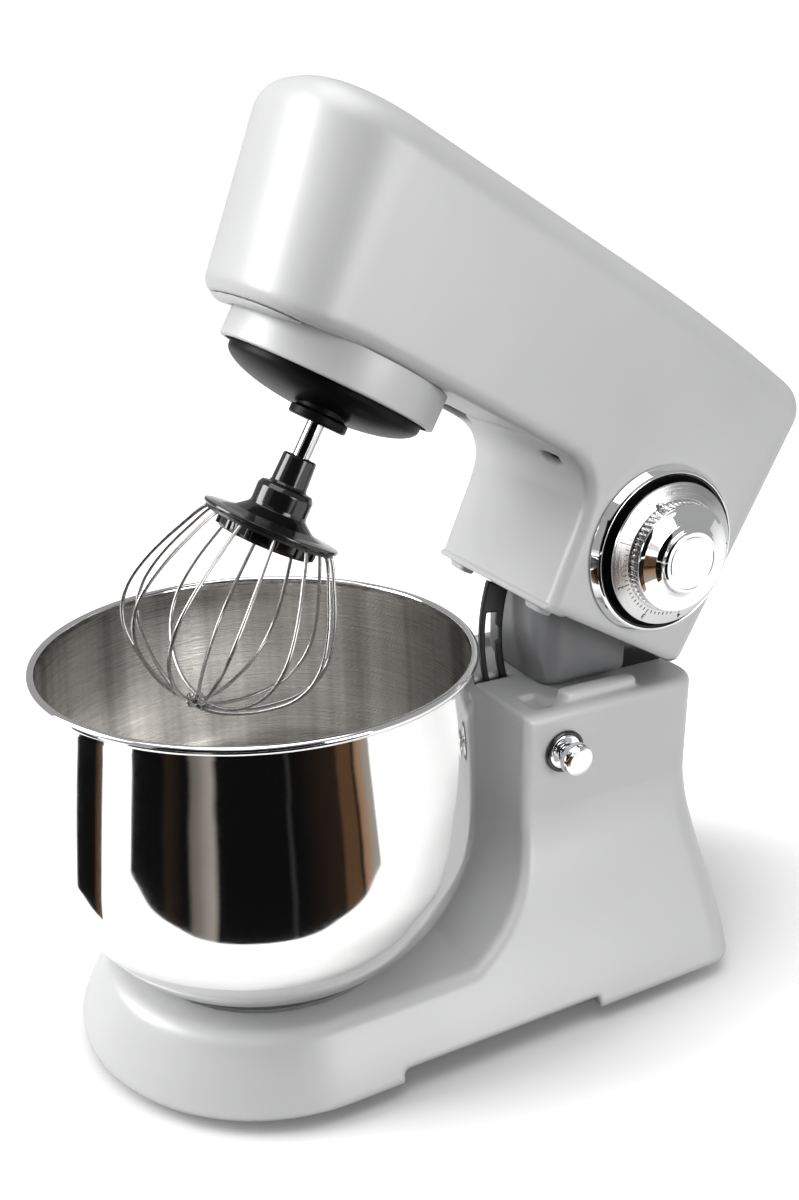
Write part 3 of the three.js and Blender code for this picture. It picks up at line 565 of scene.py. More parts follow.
# The bowl's inside steel carries painted reflection bands in its colour.
INSIDE_STEEL = brushed("brushed_steel", (0.88, 0.865, 0.84), 0.27, 1500, 0.015, 0.7, painted_reflection_bands=True)
SPUN_CHROME = brushed("spun_chrome", (0.62, 0.62, 0.62), 0.2, 1800, 0.05)
WIRE_STEEL = polished("drawn_wire", (0.50, 0.495, 0.485), 0.2)
SHAFT_STEEL = polished("ground_shaft", (0.66, 0.66, 0.655), 0.07)
TURNED_STEEL = brushed("turned_steel", (0.70, 0.70, 0.69), 0.22, 1400, 0.15)
NYLON = moulded("moulded_nylon", (0.70, 0.66, 0.56), (0.80, 0.77, 0.68), 0.5)
CAST = painted("cast_alloy", (0.42, 0.43, 0.44), (0.5, 0.51, 0.52), 0.48, metallic=0.8, coat=0)
COPPER = brushed("copper_windings", (0.72, 0.36, 0.2), 0.35, 2200, 0.5)
BOARD = moulded("circuit_board", (0.02, 0.14, 0.06), (0.04, 0.22, 0.1), 0.45)
INK = moulded("dial_ink", (0.01, 0.01, 0.01), (0.03, 0.03, 0.03), 0.5)


# ---------------------------------------------------------------- base
BASE_WALL = 5
FLARE_TOP, FLARE_HEIGHT = 112, 98
STEP = 2.0  # cell size of the large smooth solids


def power_step(z, start, reach, power):
    return np.maximum(0, (z - start) / reach) ** power


def base_half_width(z):
    """Half width of the base at height z: the slab's rounded wall, running on into the column's flare."""
    slab = SLAB_R - SLAB_INSET * power_step(z, SLAB_BOTTOM, SLAB_TOP - SLAB_BOTTOM, 1.5)
    column = COLUMN_HALF + 41 * np.maximum(0, (FLARE_TOP - z) / FLARE_HEIGHT) ** 1.45
    near = np.maximum(16 - np.abs(slab - column), 0) / 16
    return np.maximum(slab, column) + 4 * near ** 2


def scoop_line():
    """Side view of the base's top: the slab, the hollow curve that hugs the bowl, and the column."""
    curve = [(COLUMN_FRONT - 150 * max(0, (FLARE_TOP - z) / FLARE_HEIGHT) ** 3, z)
             for z in np.linspace(120, 44.5, 26)]
    below = [(-300, -60), (400, -60), (400, COLUMN_TOP), (COLUMN_FRONT, COLUMN_TOP)]
    return [*below, *curve, (40, SLAB_TOP), (-300, SLAB_TOP)]


scoop = inside_line(scoop_line())


def base_outer(x, y, z):
    ax = np.abs(x)
    width = base_half_width(z)
    side = np.hypot(ax, np.minimum(y, 0)) - width
    lift = np.clip((z - 45) / 60, 0, 1)
    rear = both(side, y - REAR_Y + 1.0 * lift, 20)
    body = both(rear, scoop(y, z), 5)
    arch = box_field(x, y, z, (-200, 30, -40), (200, 155, SLAB_BOTTOM + 7.2), 2.5)
    body = both(body, SLAB_BOTTOM - z, 4)
    return without(body, arch, 2)


def base_field(x, y, z):
    ax = np.abs(x)
    body = base_outer(x, y, z)
    rib = box_field(ax, y, z, (42, 163, COLUMN_TOP - 8), (52, 214, COLUMN_TOP + 6), 3.2)
    body = either(body, rib, 1.6)
    pocket = box_field(ax, y, z, (33, 144, COLUMN_TOP - 2.6), (50, 155, COLUMN_TOP + 8), 2.0)
    slot = box_field(x, y, z, (-3.2, 134, 120), (3.2, 157.8, 190), 1.0)
    body = without(without(body, pocket, 0.8), slot, 0.8)
    sides = np.hypot(ax, np.minimum(y, 0)) - base_half_width(np.maximum(z, 14)) + BASE_WALL
    belly = both(sides, y - REAR_Y + BASE_WALL, 18)
    cavity = np.maximum(np.maximum(belly, scoop(y, z) + 4), -60 - z)
    seat = np.maximum(np.hypot(x, y) - 66.8, 42 - z)
    bush = np.hypot(y - LATCH_Y, z - LATCH_Z) - 6.2
    bush = np.maximum(bush, 40 - x)
    inlet = box_field(x, y, z, (51.8, 240, 19.8), (72.2, 280, 40.2), 2)
    for tool, r in ((cavity, 0.6), (seat, 0.6), (bush, 0.4), (inlet, 0.6)):
        body = without(body, tool, r)
    return body


solid_piece("base_body", base_field, (-110, -110, 2), (110, 262, 180), STEP, PAINT, "base", BASE,
            ("base_shell",))


def neck_field(x, y, z):
    plan = box_field(x, y, 0 * z, (-34, 159.5, -50), (34, 260, 50), 15)
    lean = y - 159.5 - 5 * ease((205 - z) / 34) + 5 * ease((z - 205) / 24)
    body = both(plan, np.abs(z - COLUMN_TOP - 28.9) - 28.6, 8)
    return both(np.maximum(body, -lean), y - 218, 2)


solid_piece("neck_body", neck_field, (-37, 156, 168), (37, 222, 233), STEP * 0.8, NECK, "base", BASE,
            ("neck_block",))


# ---------------------------------------------------------------- head
under_line = [(-400, 900), (-400, 249.8), (-52, 249.8), (-44, 250.2), (-30, 251.8), (-22, 252.3), (60, 252.6),
              *spline([(104, 252.6), (116, 251.4), (127, 245.8), (134.5, 235.5), (137.6, 221.5), (139.2, 206),
                       (142.5, NECK_BOTTOM)], 6), (600, NECK_BOTTOM), (600, 900)]
above_under = inside_line(under_line)


def head_outer(x, y, z):
    k = NOSE_LEAN * (HEAD_TOP - z) / (SHOULDER_Y - NOSE_Y)
    y0 = np.where(y < SHOULDER_Y, (y - k * SHOULDER_Y) / (1 - k), y)
    reach = np.maximum(SHOULDER_Y - y0, 0) / (SHOULDER_Y - NOSE_Y)
    plan = (((np.abs(x) / HEAD_HALF) ** 2.5 + reach ** 2.5) ** 0.4 - 1) * 60
    top = z - HEAD_TOP + 8 * (np.maximum(y - 110, 0) / 146) ** 2
    return both(both(plan, top, 18), y - HEAD_REAR, 21)


def under_recess(outer, y):
    """How far the flat underside lies above the cover's lower edge."""
    return 2.2 * ease((-8 - outer) / 6) * ease((116 - y) / 18)


def egg(x, y, z, centre, half):
    """Rounded hollow with the given half lengths."""
    return (np.sqrt(sum(((v - c) / h) ** 2 for v, c, h in zip((x, y, z), centre, half))) - 1) * min(half)


def screw_wells(x, y, z):
    return (egg(x, y, z, (31, 121.5, 251), (8.5, 4.2, 7)), egg(x, y, z, (-46, 97, 254), (7, 17, 9)),
            egg(x, y, z, (-60, 121, 248), (5, 4, 4)))


def cover_field(x, y, z):
    outer = head_outer(x, y, z)
    low = above_under(y, z)
    body = np.maximum(both(outer, low, 7), low + under_recess(outer, y))
    hollow = np.maximum(outer, low + under_recess(outer, y)) + 4.4
    opening = box_field(x, y, z, (-57, 156, 120), (57, 244, 200), 3)
    hinge_gap = box_field(x, y, z, (-39.5, 156, 120), (39.5, 300, 212), 4)
    floor_gap = np.maximum(box_field(x, y, z, (-80, -120, 200), (80, 104, 262), 4), outer + 9.4)
    slot = box_field(x, y, z, (-2.4, 145.9, 150), (2.4, 158.5, 200), 0.8)
    body = without(body, hollow, 0.8)
    flange = box_field(x, y, z, (-58, 141, NECK_BOTTOM), (58, 154, NECK_BOTTOM + 3.4), 0.4)
    body = np.minimum(body, np.maximum(flange, outer + 1))
    nub = box_field(np.abs(x), y, z, (33.5, 144.5, NECK_BOTTOM - 3.4), (48.5, 154.5, NECK_BOTTOM + 2), 2.2)
    body = either(body, nub, 0.8)
    for tool in (opening, hinge_gap, floor_gap, slot, *screw_wells(x, y, z)):
        body = without(body, tool, 0.6)
    return body


solid_piece("head_shell", cover_field, (-64, -96, 166), (64, 260, 357), STEP, PAINT, "head", HEAD,
            ("head_cover",))

chin_line = [(-400, 900), (-400, 246.8), (-66, 246.8), (-56, 247.6), (-48, 249.2), (-42, 252.0), (600, 260),
             (600, 900)]
above_chin = inside_line(chin_line)


def floor_field(x, y, z):
    outer = head_outer(x, y, z)
    low = above_under(y, z)
    from_axis = np.hypot(x, y - AXIS_Y)
    plate = np.maximum(np.maximum(low + 2.2, z - 256.8), y - 103.5)
    plate = np.maximum(plate, outer + 9.9)
    tongue = np.maximum(np.maximum(248.8 - z, z - 256.8), np.maximum(y + 50, outer + 9.9))
    chin = both(outer + 1.2, above_chin(y, z), 12)
    chin = np.maximum(np.maximum(chin, z - 249.3), y + 42)
    body = np.minimum(np.minimum(plate, tongue), chin)
    seat = np.maximum(from_axis - 59.4, z - 252.6)
    for tool in (seat, from_axis - 47.5, *screw_wells(x, y, z)):
        body = without(body, tool, 0.4)
    return body


solid_piece("head_floor", floor_field, (-62, -94, 240), (62, 108, 260), 1.3, PAINT, "head", HEAD,
            ("head_underside",))

# ---------------------------------------------------------------- drive skirt and planet carrier
DRIVE = HEAD @ shift(0, AXIS_Y, 0)
skirt_profile = fillet([
    (55.4, SKIRT_BOTTOM, 0.9), (SKIRT_R, SKIRT_BOTTOM, 1.4), (58.4, 252.4, 0.6), (50.0, 252.4, 0.5),
    (50.0, 249.6, 0.5), (55.6, 248.6, 1.0), (55.4, SKIRT_BOTTOM + 1.2)])
lathe("skirt_ring", skirt_profile, PAINT, "head", DRIVE, 128, True, ("drive_skirt",))

DOME_R, DOME_TOP, DOME_EDGE, DOME_DIP = 52.6, 234.0, 230.4, 216.2
shell = [(DOME_R * math.sin(t), DOME_EDGE - (DOME_EDGE - DOME_DIP) * math.cos(t))
         for t in np.linspace(0, math.pi / 2, 26)]
rim = fillet([
    shell[-1], (DOME_R, DOME_TOP, 0.8), (49.6, DOME_TOP, 0.5), (49.0, 232), (40, 226), (20, 221),
    (0, 220)], 4)
dome = lathe_mesh(shell + rim[1:], 96)
boss_profile = fillet([
    (0, 212.0), (14.3, 212.0, 0.8), (15.0, 212.8, 0.5), (15.0, 216.4, 0.8), (12.6, 217.4, 1.0),
    (12.6, 221.5), (0, 221.5)])
over_planet = Matrix.Translation((PLANET_X, PLANET_Y - AXIS_Y, 0))
boss = moved(lathe_mesh(boss_profile, 64), over_planet)
hub = lathe_mesh([(0, 220), (9, 220), (9, 234.9), (0, 234.9)], 48)
sleeve = moved(lathe_mesh([(0, 215), (8, 215), (8, 234.5), (0, 234.5)], 48), over_planet)
creased("carrier_dome", merged([dome, boss, hub, sleeve]), DOME_BLACK, "planet_drive", DRIVE,
        ("planet_carrier",))

# ---------------------------------------------------------------- beater shaft and whisk
BEATER = HEAD @ shift(PLANET_X, PLANET_Y, 0)
WHISK = HEAD @ shift(PLANET_X, PLANET_Y, PIN_Z) @ Matrix.Rotation(SAG, 4, "X") @ shift(0, 0, -PIN_Z)

shaft = lathe_mesh(fillet([(0, 170), (4.5, 170, 0.6), (4.5, 250, 0.6), (0, 250)], 4), 48)
cross_pin = tube_mesh([(0, -5.3, PIN_Z), (0, 5.3, PIN_Z)], 1.2, 16)
creased("drive_shaft", merged([shaft, cross_pin]), SHAFT_STEEL, "beater", BEATER, ("beater_shaft",))

hub_profile = fillet([
    (0, 148.2), (24.6, 148.2, 0.8), (25.4, 150.0, 0.4), (25.6, 156.2, 0.4), (34.8, 156.4, 0.5),
    (35.5, 157.2, 0.5), (35.4, 158.4, 0.5), (27.0, 159.1, 2), (20.5, 160.8, 2.5), (16.4, 164.0, 2),
    (14.9, 165.4, 0.8), (14.6, 167.0, 0.6), (14.6, 175.0, 2.2), (13.2, 177.6, 1.4), (9.8, 178.2, 0.8),
    (9.3, 179.6, 0.6), (8.7, 193.2, 0.5), (7.9, 194.0, 0.5), (5.9, 194.0, 0.4), (5.9, 169), (0, 169)], 5)
hub_mesh = lathe_mesh(hub_profile, 96)
teeth = []
for i in range(12):
    tooth = prism(rounded_box(24.6, 26.4, -1.6, 1.6, 0.5, 3), 149.2, 156.3)
    teeth.append(moved(tooth, Matrix.Rotation(2 * math.pi * (i + 0.5) / 12, 4, "Z")))
creased("whisk_socket", merged([hub_mesh, *teeth]), GLOSS, "whisk", WHISK, ("whisk_hub",), 32)


def wire_points(turn, lift):
    """One loop of wire: out of the disc's edge, round the belly, through the tip and back up."""
    side = [(30.5, 156.0), (33.2, 154.4), (36.6, 149.2), (41.0, 140.5), (45.6, 131.0), (49.6, 121.0),
            (52.4, 111.0), (53.3, 102.5), (51.8, 93.0), (46.6, 83.5), (38.0, 75.5), (26.5, 68.3),
            (13.0, 63.4)]
    line = [(r, z - lift * ease(1 - r / 40)) for r, z in side] + [(0.0, 61.8 - lift)]
    line += [(-r, z - lift * ease(1 - r / 40)) for r, z in reversed(side)]
    c, s = math.cos(turn), math.sin(turn)
    return [(r * c, r * s, z) for r, z in spline(line, 6)]


LOOPS, WIRE_R = 6, 1.0
wires = [tube_mesh(wire_points(math.pi * (i + 0.35) / LOOPS, (i * 5) % LOOPS - 2.5), WIRE_R, 12)
         for i in range(LOOPS)]


def knot_ring(radius, height, swing, start):
    """A turn of thin wire that ties the crossing at the whisk's tip."""
    turns = [2 * math.pi * k / 48 for k in range(48)]
    return [((radius + 0.7 * math.cos(5 * a)) * math.cos(a), (radius + 0.7 * math.cos(5 * a)) * math.sin(a),
             height + swing * math.sin(3 * a + start)) for a in turns]


ties = [tube_mesh(knot_ring(r, h, w, b), 0.5, 8, True) for r, h, w, b in
        ((3.6, 63.0, 2.2, 0.0), (5.4, 61.6, 2.4, 1.1), (4.4, 60.4, 1.8, 2.3), (2.4, 61.8, 3.0, 0.6))]
socket = lathe_mesh([(26.2, 156.0), (33.8, 156.0), (33.8, 154.6), (26.2, 154.6)], 64, True)
add_piece("whisk_cage", merged(wires + ties), WIRE_STEEL, "whisk", WHISK, ("whisk_wires",))
add_piece("whisk_ring", socket, SATIN_BLACK, "whisk", WHISK, (), smooth=False)

# ---------------------------------------------------------------- speed dial
DIAL = HEAD @ shift(0, DIAL_Y, DIAL_Z) @ ALONG_X

bezel_profile = fillet([
    (43.6, 61.4), (47.7, 61.4, 0.3), (48.0, 62.4, 0.5), (45.6, 66.3, 1.6), (44.2, 67.2, 0.6),
    (43.6, 66.4, 0.3)], 7)
lathe("dial_ring", bezel_profile, CHROME, "head", DIAL, 160, True, ("dial_bezel",))
# The recess ring is black gloss: a dark band that stands in for the shade and dark reflections inside the
# chrome bezel, painted shade.
recess_profile = fillet([
    (12, 61.5), (43.4, 61.5), (43.4, 66.3, 0.2), (42.9, 66.2, 0.2), (41.6, 63.4, 1.2), (36, 62.5, 1),
    (12, 62.5)], 6)
lathe("dial_recess", recess_profile, GLOSS, "head", DIAL, 128, True, ())

skirt_disc = fillet([
    (0, 65.4), (30.5, 65.4, 0.5), (33.0, 69.0, 1.0), (39.0, 69.4, 0.5), (40.2, 70.2, 0.4), (40.0, 71.4, 0.5),
    (31.5, 73.8, 0.6), (30.5, 73.2, 0.4), (0, 73.2)], 5)
lathe("dial_scale_disc", skirt_disc, SPUN_CHROME, "dial", DIAL, 128, False, ("dial_skirt",))

KNURLS, GRIP_R = 60, 30.0


def knurl(r, z, a):
    """Grip ribs on the knob's straight side."""
    deep = 0.5 if 73.9 < z < 79.2 and r > GRIP_R - 1 else 0.0
    return r - deep * (0.5 + 0.5 * math.cos(KNURLS * a)) ** 0.6


knob_profile = fillet([
    (0, 69.6), (29.4, 69.6, 0.4), (GRIP_R, 70.2, 0.3), (GRIP_R, 73.8), (GRIP_R, 74.1), (GRIP_R, 79.0),
    (GRIP_R, 79.3), (GRIP_R, 80.6, 1.2), (27.6, 81.6, 0.9), (20.8, 83.4, 1.2), (18.2, 85.2, 2.2),
    (17.8, 87.0, 0.9), (16.6, 87.9, 0.6), (15.2, 87.9, 0.2), (14.9, 87.5, 0.2), (14.2, 87.5, 0.2),
    (13.8, 87.9, 0.3), (0, 88.0)], 5)
lathe("dial_grip", knob_profile, CHROME, "dial", DIAL, KNURLS * 6, False, ("dial_knob",), knurl)


SCALE_SLOPE = math.atan2(2.6, 8.0)  # fall of the scale disc towards its edge
SCALE_START = -120  # degrees, the first tick and the number 0
TICKS, TICK_STEP, TICK_R, HALF_TICK = 49, 5, 32.4, 0.16
NUMBERS, TICKS_PER_NUMBER, NUMBER_R = 7, 8, 37.0


def dial_marks():
    """Tick marks round the scale disc, a longer one at each number."""
    rise = Matrix.Rotation(SCALE_SLOPE, 4, "Y")
    onto_disc = Matrix.Translation((TICK_R, 0, 73.65)) @ rise @ Matrix.Translation((-TICK_R, 0, 0))
    parts = []
    for i in range(TICKS):
        a = math.radians(SCALE_START + i * TICK_STEP)
        end = TICK_R + (3.2 if i % TICKS_PER_NUMBER == 0 else 1.8)
        outline = [(TICK_R, -HALF_TICK), (end, -HALF_TICK), (end, HALF_TICK), (TICK_R, HALF_TICK)]
        lifted = moved(prism(outline, 0, 0.12), onto_disc)
        parts.append(moved(lifted, Matrix.Rotation(a, 4, "Z")))
    return merged(parts)


add_piece("dial_marks", dial_marks(), INK, "dial", DIAL, (), smooth=False)


def dial_number(text, degrees):
    """One figure of the scale as a mesh, from the font built into Blender."""
    curve = bpy.data.curves.new("digit", "FONT")
    curve.body = text
    curve.size = 4.2 * MM
    curve.align_x = "CENTER"
    curve.align_y = "CENTER"
    curve.extrude = 0.08 * MM
    obj = bpy.data.objects.new("digit", curve)
    bpy.context.scene.collection.objects.link(obj)
    bpy.context.view_layer.update()
    mesh = bpy.data.meshes.new_from_object(obj.evaluated_get(bpy.context.evaluated_depsgraph_get()))
    bpy.data.objects.remove(obj)
    a = math.radians(degrees)
    tilt = Matrix.Rotation(SCALE_SLOPE, 4, "Y") @ Matrix.Rotation(-math.pi / 2, 4, "Z")
    lay = Matrix.Rotation(a, 4, "Z") @ Matrix.Translation((NUMBER_R, 0, 72.4)) @ tilt
    verts = [tuple(lay @ (v.co / MM)) for v in mesh.vertices]
    faces = [list(p.vertices) for p in mesh.polygons]
    bpy.data.meshes.remove(mesh)
    return verts, faces


numbers = [dial_number(str(i), SCALE_START + i * TICKS_PER_NUMBER * TICK_STEP) for i in range(NUMBERS)]
add_piece("dial_numbers", merged(numbers), INK, "dial", DIAL, (), smooth=False)

POINTER_R = 1.9
pointer_side = [(POINTER_R * math.cos(t), POINTER_R * math.sin(t)) for t in np.linspace(-1.3, 1.3, 13)]
pointer = lathe_mesh([(0, -POINTER_R), *pointer_side, (0, POINTER_R)], 32)
on_disc = Matrix.Rotation(math.radians(-128), 4, "Z") @ Matrix.Translation((32.2, 0, 74.6))
add_piece("dial_pointer", moved(pointer, on_disc), CHROME, "dial", DIAL, ())

# ---------------------------------------------------------------- latch
LATCH = BASE @ shift(0, LATCH_Y, LATCH_Z) @ ALONG_X
knob = fillet([
    (0, 62), (3.2, 62), (3.2, 63.6, 0.3), (5.0, 64.4, 0.8), (5.2, 66.2, 0.6), (4.2, 67.0, 0.4),
    (4.2, 67.8, 0.4), (8.8, 69.0, 1.0), (9.6, 70.2, 0.6), (9.6, 73.6, 0.6), (8.8, 75.3, 1.2),
    (6.4, 76.0, 1.0), (0, 76.0)], 6)
pull = lathe_mesh(knob, 64)
stem = lathe_mesh([(0, 22), (4.2, 22), (4.2, 62.4), (0, 62.4)], 32)
tip = lathe_mesh([(0, -9), (2.6, -9), (3.0, -8.6), (3.0, 22.2), (0, 22.2)], 32)
creased("latch_pull", merged([pull, stem, tip]), CHROME, "latch", LATCH, ("latch_knob",))
surround = fillet([
    (4.7, 52), (5.8, 52), (5.8, 60.4), (12.2, 60.3, 0.2), (12.6, 60.9, 0.3), (12.4, 62.0, 0.7),
    (11.0, 62.4, 0.7), (10.3, 61.4, 0.3), (4.7, 61.2)], 5)
lathe("latch_surround", surround, GLOSS, "base", LATCH, 72, True, ("latch_bush",))
plate = fillet([
    (4.8, 61.3), (10.1, 61.5), (10.1, 61.8, 0.2), (8.6, 62.2, 0.4), (5.4, 62.0, 0.3), (4.8, 61.8)], 4)
lathe("latch_face", plate, CHROME, "base", LATCH, 72, True, ())


def arc(radius, start, end, count=40):
    """Side-view points at a radius round the hinge, between two bearings in degrees."""
    out = []
    for d in np.linspace(start, end, count):
        a = math.radians(d)
        out.append((HINGE_Y - radius * math.cos(a), HINGE_Z - radius * math.sin(a)))
    return out


plate_edge = inside_line(arc(118.5, 4, 63) + arc(103.5, 63, 4))
slot_end = arc(113.4, 59.8, 59.9, 2) + arc(109.6, 59.9, 59.8, 2)
slot_inner = arc(107.75, 58.6, 32) + arc(105.75, 31.4, 27, 8) + arc(107.75, 26, 22, 6)
plate_slot = inside_line(arc(115.25, 22, 58.6) + slot_end + slot_inner)


def quadrant_field(x, y, z):
    """The plate with the curved slot that the latch pin runs in."""
    flat = np.maximum(plate_edge(y, z), -plate_slot(y, z))
    front = np.maximum(y - 146.5, 173.5 - z)
    flat = np.maximum(flat, -front)
    return both(flat, np.abs(x) - 1.75, 0.7)


solid_piece("latch_plate", quadrant_field, (-3, 134, 90), (3, 212, 196), 0.8, SATIN_BLACK, "head", HEAD,
            ("latch_quadrant",))

# ---------------------------------------------------------------- bowl
bowl_wall = spline([
    (60, 48.2), (68, 50.2), (76.5, 53.6), (89.6, 60.6), (102.0, 75.4), (109.0, 88.5), (113.4, 100.0),
    (116.6, 112.0), (117.7, 125.0), (117.8, 140.0), (117.4, 160.0), (116.2, 185.0), (114.6, 206.0)], 7)
BEAD_R = 2.25
bead = [(115.2 + BEAD_R * math.cos(a), 217.4 + BEAD_R * math.sin(a))
        for a in np.linspace(-1.9, math.pi - 0.2, 18)]
neck = fillet([bowl_wall[-1], (114.3, 212.0, 3), bead[0]], 5)[1:-1]
inner = [(r - 1.4, z + 0.5) for r, z in reversed(bowl_wall)]
bowl_profile = [
    (0, 47.9), (40, 47.9), (52, 47.9), *bowl_wall, *neck, *bead, (112.95, 215.2), (112.9, 212.0), *inner[:-1],
    (58.0, 49.6), (40, 49.4), (0, 49.4)]
bowl = creased("bowl_body", lathe_mesh(bowl_profile, 192), MIRROR_STEEL, "bowl", BASE, ("bowl",),
               60)
bowl.data.materials.append(INSIDE_STEEL)
for face in bowl.data.polygons:
    r = math.hypot(face.center.x, face.center.y) / MM
    faces_axis = face.normal.x * face.center.x + face.normal.y * face.center.y < 0
    on_floor = face.normal.z > 0.6 and r < 100
    if (faces_axis or on_floor) and face.center.z / MM < 215:
        face.material_index = 1
foot_profile = fillet([(46, 44.2), (52, 44.2, 0.6), (52, 47.6, 0.3), (46, 47.6)], 4)
ring = lathe_mesh(foot_profile, 96, True)
tongue = prism(rounded_box(50, 57, -7, 7, 1.2, 4), 44.2, 46.0)
tongues = [moved(tongue, Matrix.Rotation(math.radians(t), 4, "Z")) for t in (30, 150, 270)]
creased("bowl_base_ring", merged([ring, *tongues]), MIRROR_STEEL, "bowl", BASE, ("bowl_foot",))

# ---------------------------------------------------------------- feet
FOOT_R = 12.5
for where in ("front_left", "front_right", "rear_left", "rear_right"):
    low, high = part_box("foot_" + where)
    centre = (low + high) / 2 / MM
    bottom, top = low.z / MM, high.z / MM
    profile = fillet([
        (0, bottom), (10.2, bottom, 0.8), (12.2, bottom + 2.2, 1.0), (FOOT_R, top, 0.4), (0, top)], 4)
    place = shift(centre.x, centre.y, 0)
    lathe("rubber_" + where, profile, RUBBER, "base", place, 48, False, ("foot_" + where,))

# ---------------------------------------------------------------- carried-over CAD nodes
LOOKS = {
    "base_floor": SATIN_BLACK, "cord_inlet": SATIN_BLACK, "bowl_seat": NECK, "hinge_bracket": GLOSS,
    "hinge_pin": TURNED_STEEL, "hinge_ear_left": CAST, "hinge_ear_right": CAST, "latch_guide": NECK,
    "latch_spring": TURNED_STEEL, "ring_gear": NYLON, "output_shaft": TURNED_STEEL, "final_gear": NYLON,
    "output_bearing": TURNED_STEEL, "layshaft": TURNED_STEEL, "big_pulley": NYLON,
    "motor_pulley": SATIN_BLACK, "motor_shaft": TURNED_STEEL, "motor_fan": SATIN_BLACK,
    "motor_stator": COPPER, "motor_cap": CAST, "drive_belt": RUBBER, "head_deck": CAST,
    "control_board": BOARD, "planet_gear": NYLON, "dial_shaft": TURNED_STEEL,
    "speed_switch": SATIN_BLACK,
}
for node, look in LOOKS.items():
    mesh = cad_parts[node].data
    mesh.materials.clear()
    mesh.materials.append(look)
for node in ("bowl_seat", "hinge_bracket", "hinge_ear_left", "hinge_ear_right", "cord_inlet"):
    bevel(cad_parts[node], 0.4, 2, 40)


# ---------------------------------------------------------------- studio
def stage_mesh(name, verts, faces, look, place=Matrix.Identity(4)):
    mesh = bpy.data.meshes.new(name)
    mesh.from_pydata(verts, [], faces)
    mesh.materials.append(look)
    obj = bpy.data.objects.new(name, mesh)
    bpy.context.scene.collection.objects.link(obj)
    obj.matrix_world = place
    return obj


def stage_look(name, color, glow=0.0):
    """A near-white floor. With glow, it brightens away from the mixer, so that only its shadow shows."""
    mat, tree, node = shader(name, (color,) * 3, 0.6)
    tone = noise(tree, coords(tree, 1.0), 3, 3)
    tint(tree, node, spread(tree, tone, 0, 1), (color - 0.01,) * 3, (color,) * 3)
    node.inputs["Emission Color"].default_value = (1, 1, 1, 1)
    if glow:
        where = tree.nodes.new("ShaderNodeTexCoord")
        oval = maths(tree, "MULTIPLY", where.outputs["Object"], (1, 0.6, 1), kind=VECTOR)
        far = maths(tree, "LENGTH", oval.outputs["Vector"], kind=VECTOR)
        rising = spread(tree, far.outputs["Value"], 0.0, glow, 0.12, 0.24)
        link(tree, rising, node.inputs["Emission Strength"])
    return mat


def seen_by(obj, camera=False, diffuse=False, glossy=False, shadow=False):
    obj.visible_camera = camera
    obj.visible_diffuse = diffuse
    obj.visible_glossy = glossy
    obj.visible_transmission = glossy
    obj.visible_shadow = shadow


def floor_sheet(name, depth, look):
    """A 12 m square, this far below the ground."""
    verts = [(-6, -6, 0), (6, -6, 0), (6, 6, 0), (-6, 6, 0)]
    return stage_mesh(name, verts, [(0, 1, 2, 3)], look, Matrix.Translation((0, 0, -depth)))


# the pale floor that shows, one under it for reflections only, and a duller one for soft light from below
seen_by(floor_sheet("studio_floor", 0, stage_look("floor_white", 0.93, 0.65)), camera=True)
seen_by(floor_sheet("studio_shine", 0.0005, stage_look("floor_shine", 0.88, 0.34)), glossy=True)
seen_by(floor_sheet("studio_bounce", 0.001, stage_look("floor_bounce", 0.22)), diffuse=True)


def glow_look(name, color, glow):
    mat = bpy.data.materials.new(name)
    mat.use_nodes = True
    tree = mat.node_tree
    tree.nodes.clear()
    out = tree.nodes.new("ShaderNodeOutputMaterial")
    emit = tree.nodes.new("ShaderNodeEmission")
    emit.inputs["Color"].default_value = (*color, 1)
    emit.inputs["Strength"].default_value = glow
    link(tree, emit.outputs["Emission"], out.inputs["Surface"])
    return mat, tree, emit


SWEEP_R = 5.9
sweep_line = [(SWEEP_R * math.sin(t), SWEEP_R * math.cos(t)) for t in np.linspace(0.001, math.pi - 0.001, 24)]
sweep_white = glow_look("sweep_white", (1, 1, 1), 1.1)[0]
seen_by(stage_mesh("studio_sweep", *lathe_mesh(sweep_line, 48), sweep_white), camera=True)


def streak_look(name, shades):
    """A dark card whose tone changes in streaks round the bowl: (share of the way round, colour)."""
    mat, tree, emit = glow_look(name, (0, 0, 0), 1)
    where = tree.nodes.new("ShaderNodeAttribute")
    where.attribute_name = "round"
    ripple = noise(tree, coords(tree, (5, 5, 5)), 1.0, 3)
    add = maths(tree, "MULTIPLY_ADD", ripple, 0.03, where.outputs["Fac"])
    ramp = tree.nodes.new("ShaderNodeValToRGB")
    ramp.color_ramp.interpolation = "EASE"
    while len(ramp.color_ramp.elements) < len(shades):
        ramp.color_ramp.elements.new(0.5)
    for element, (at, color) in zip(ramp.color_ramp.elements, shades):
        element.position = at + 0.015
        element.color = (*color, 1)
    link(tree, add.outputs["Value"], ramp.inputs["Fac"])
    link(tree, ramp.outputs["Color"], emit.inputs["Color"])
    return mat


def flag_sector(name, start, end, far, z, look, near):
    """A card on the floor round the bowl between two bearings. Only polished surfaces see it."""
    centre = middle("bowl_foot") * MM
    verts, faces, share = [], [], []
    count, rings = 60, 6
    for k in range(count + 1):
        t = k / count
        a = math.radians(start + (end - start) * t)
        for j in range(rings):
            r = near(t) + (far - near(t)) * j / (rings - 1)
            verts.append((centre.x + r * math.cos(a), centre.y + r * math.sin(a), z))
            share.append(t)
    for k in range(count):
        for j in range(rings - 1):
            a, b = k * rings + j, (k + 1) * rings + j
            faces.append((a, a + 1, b + 1, b))
    obj = stage_mesh(name, verts, faces, look)
    layer = obj.data.attributes.new("round", "FLOAT", "POINT")
    layer.data.foreach_set("value", share)
    seen_by(obj, glossy=True)
    return obj


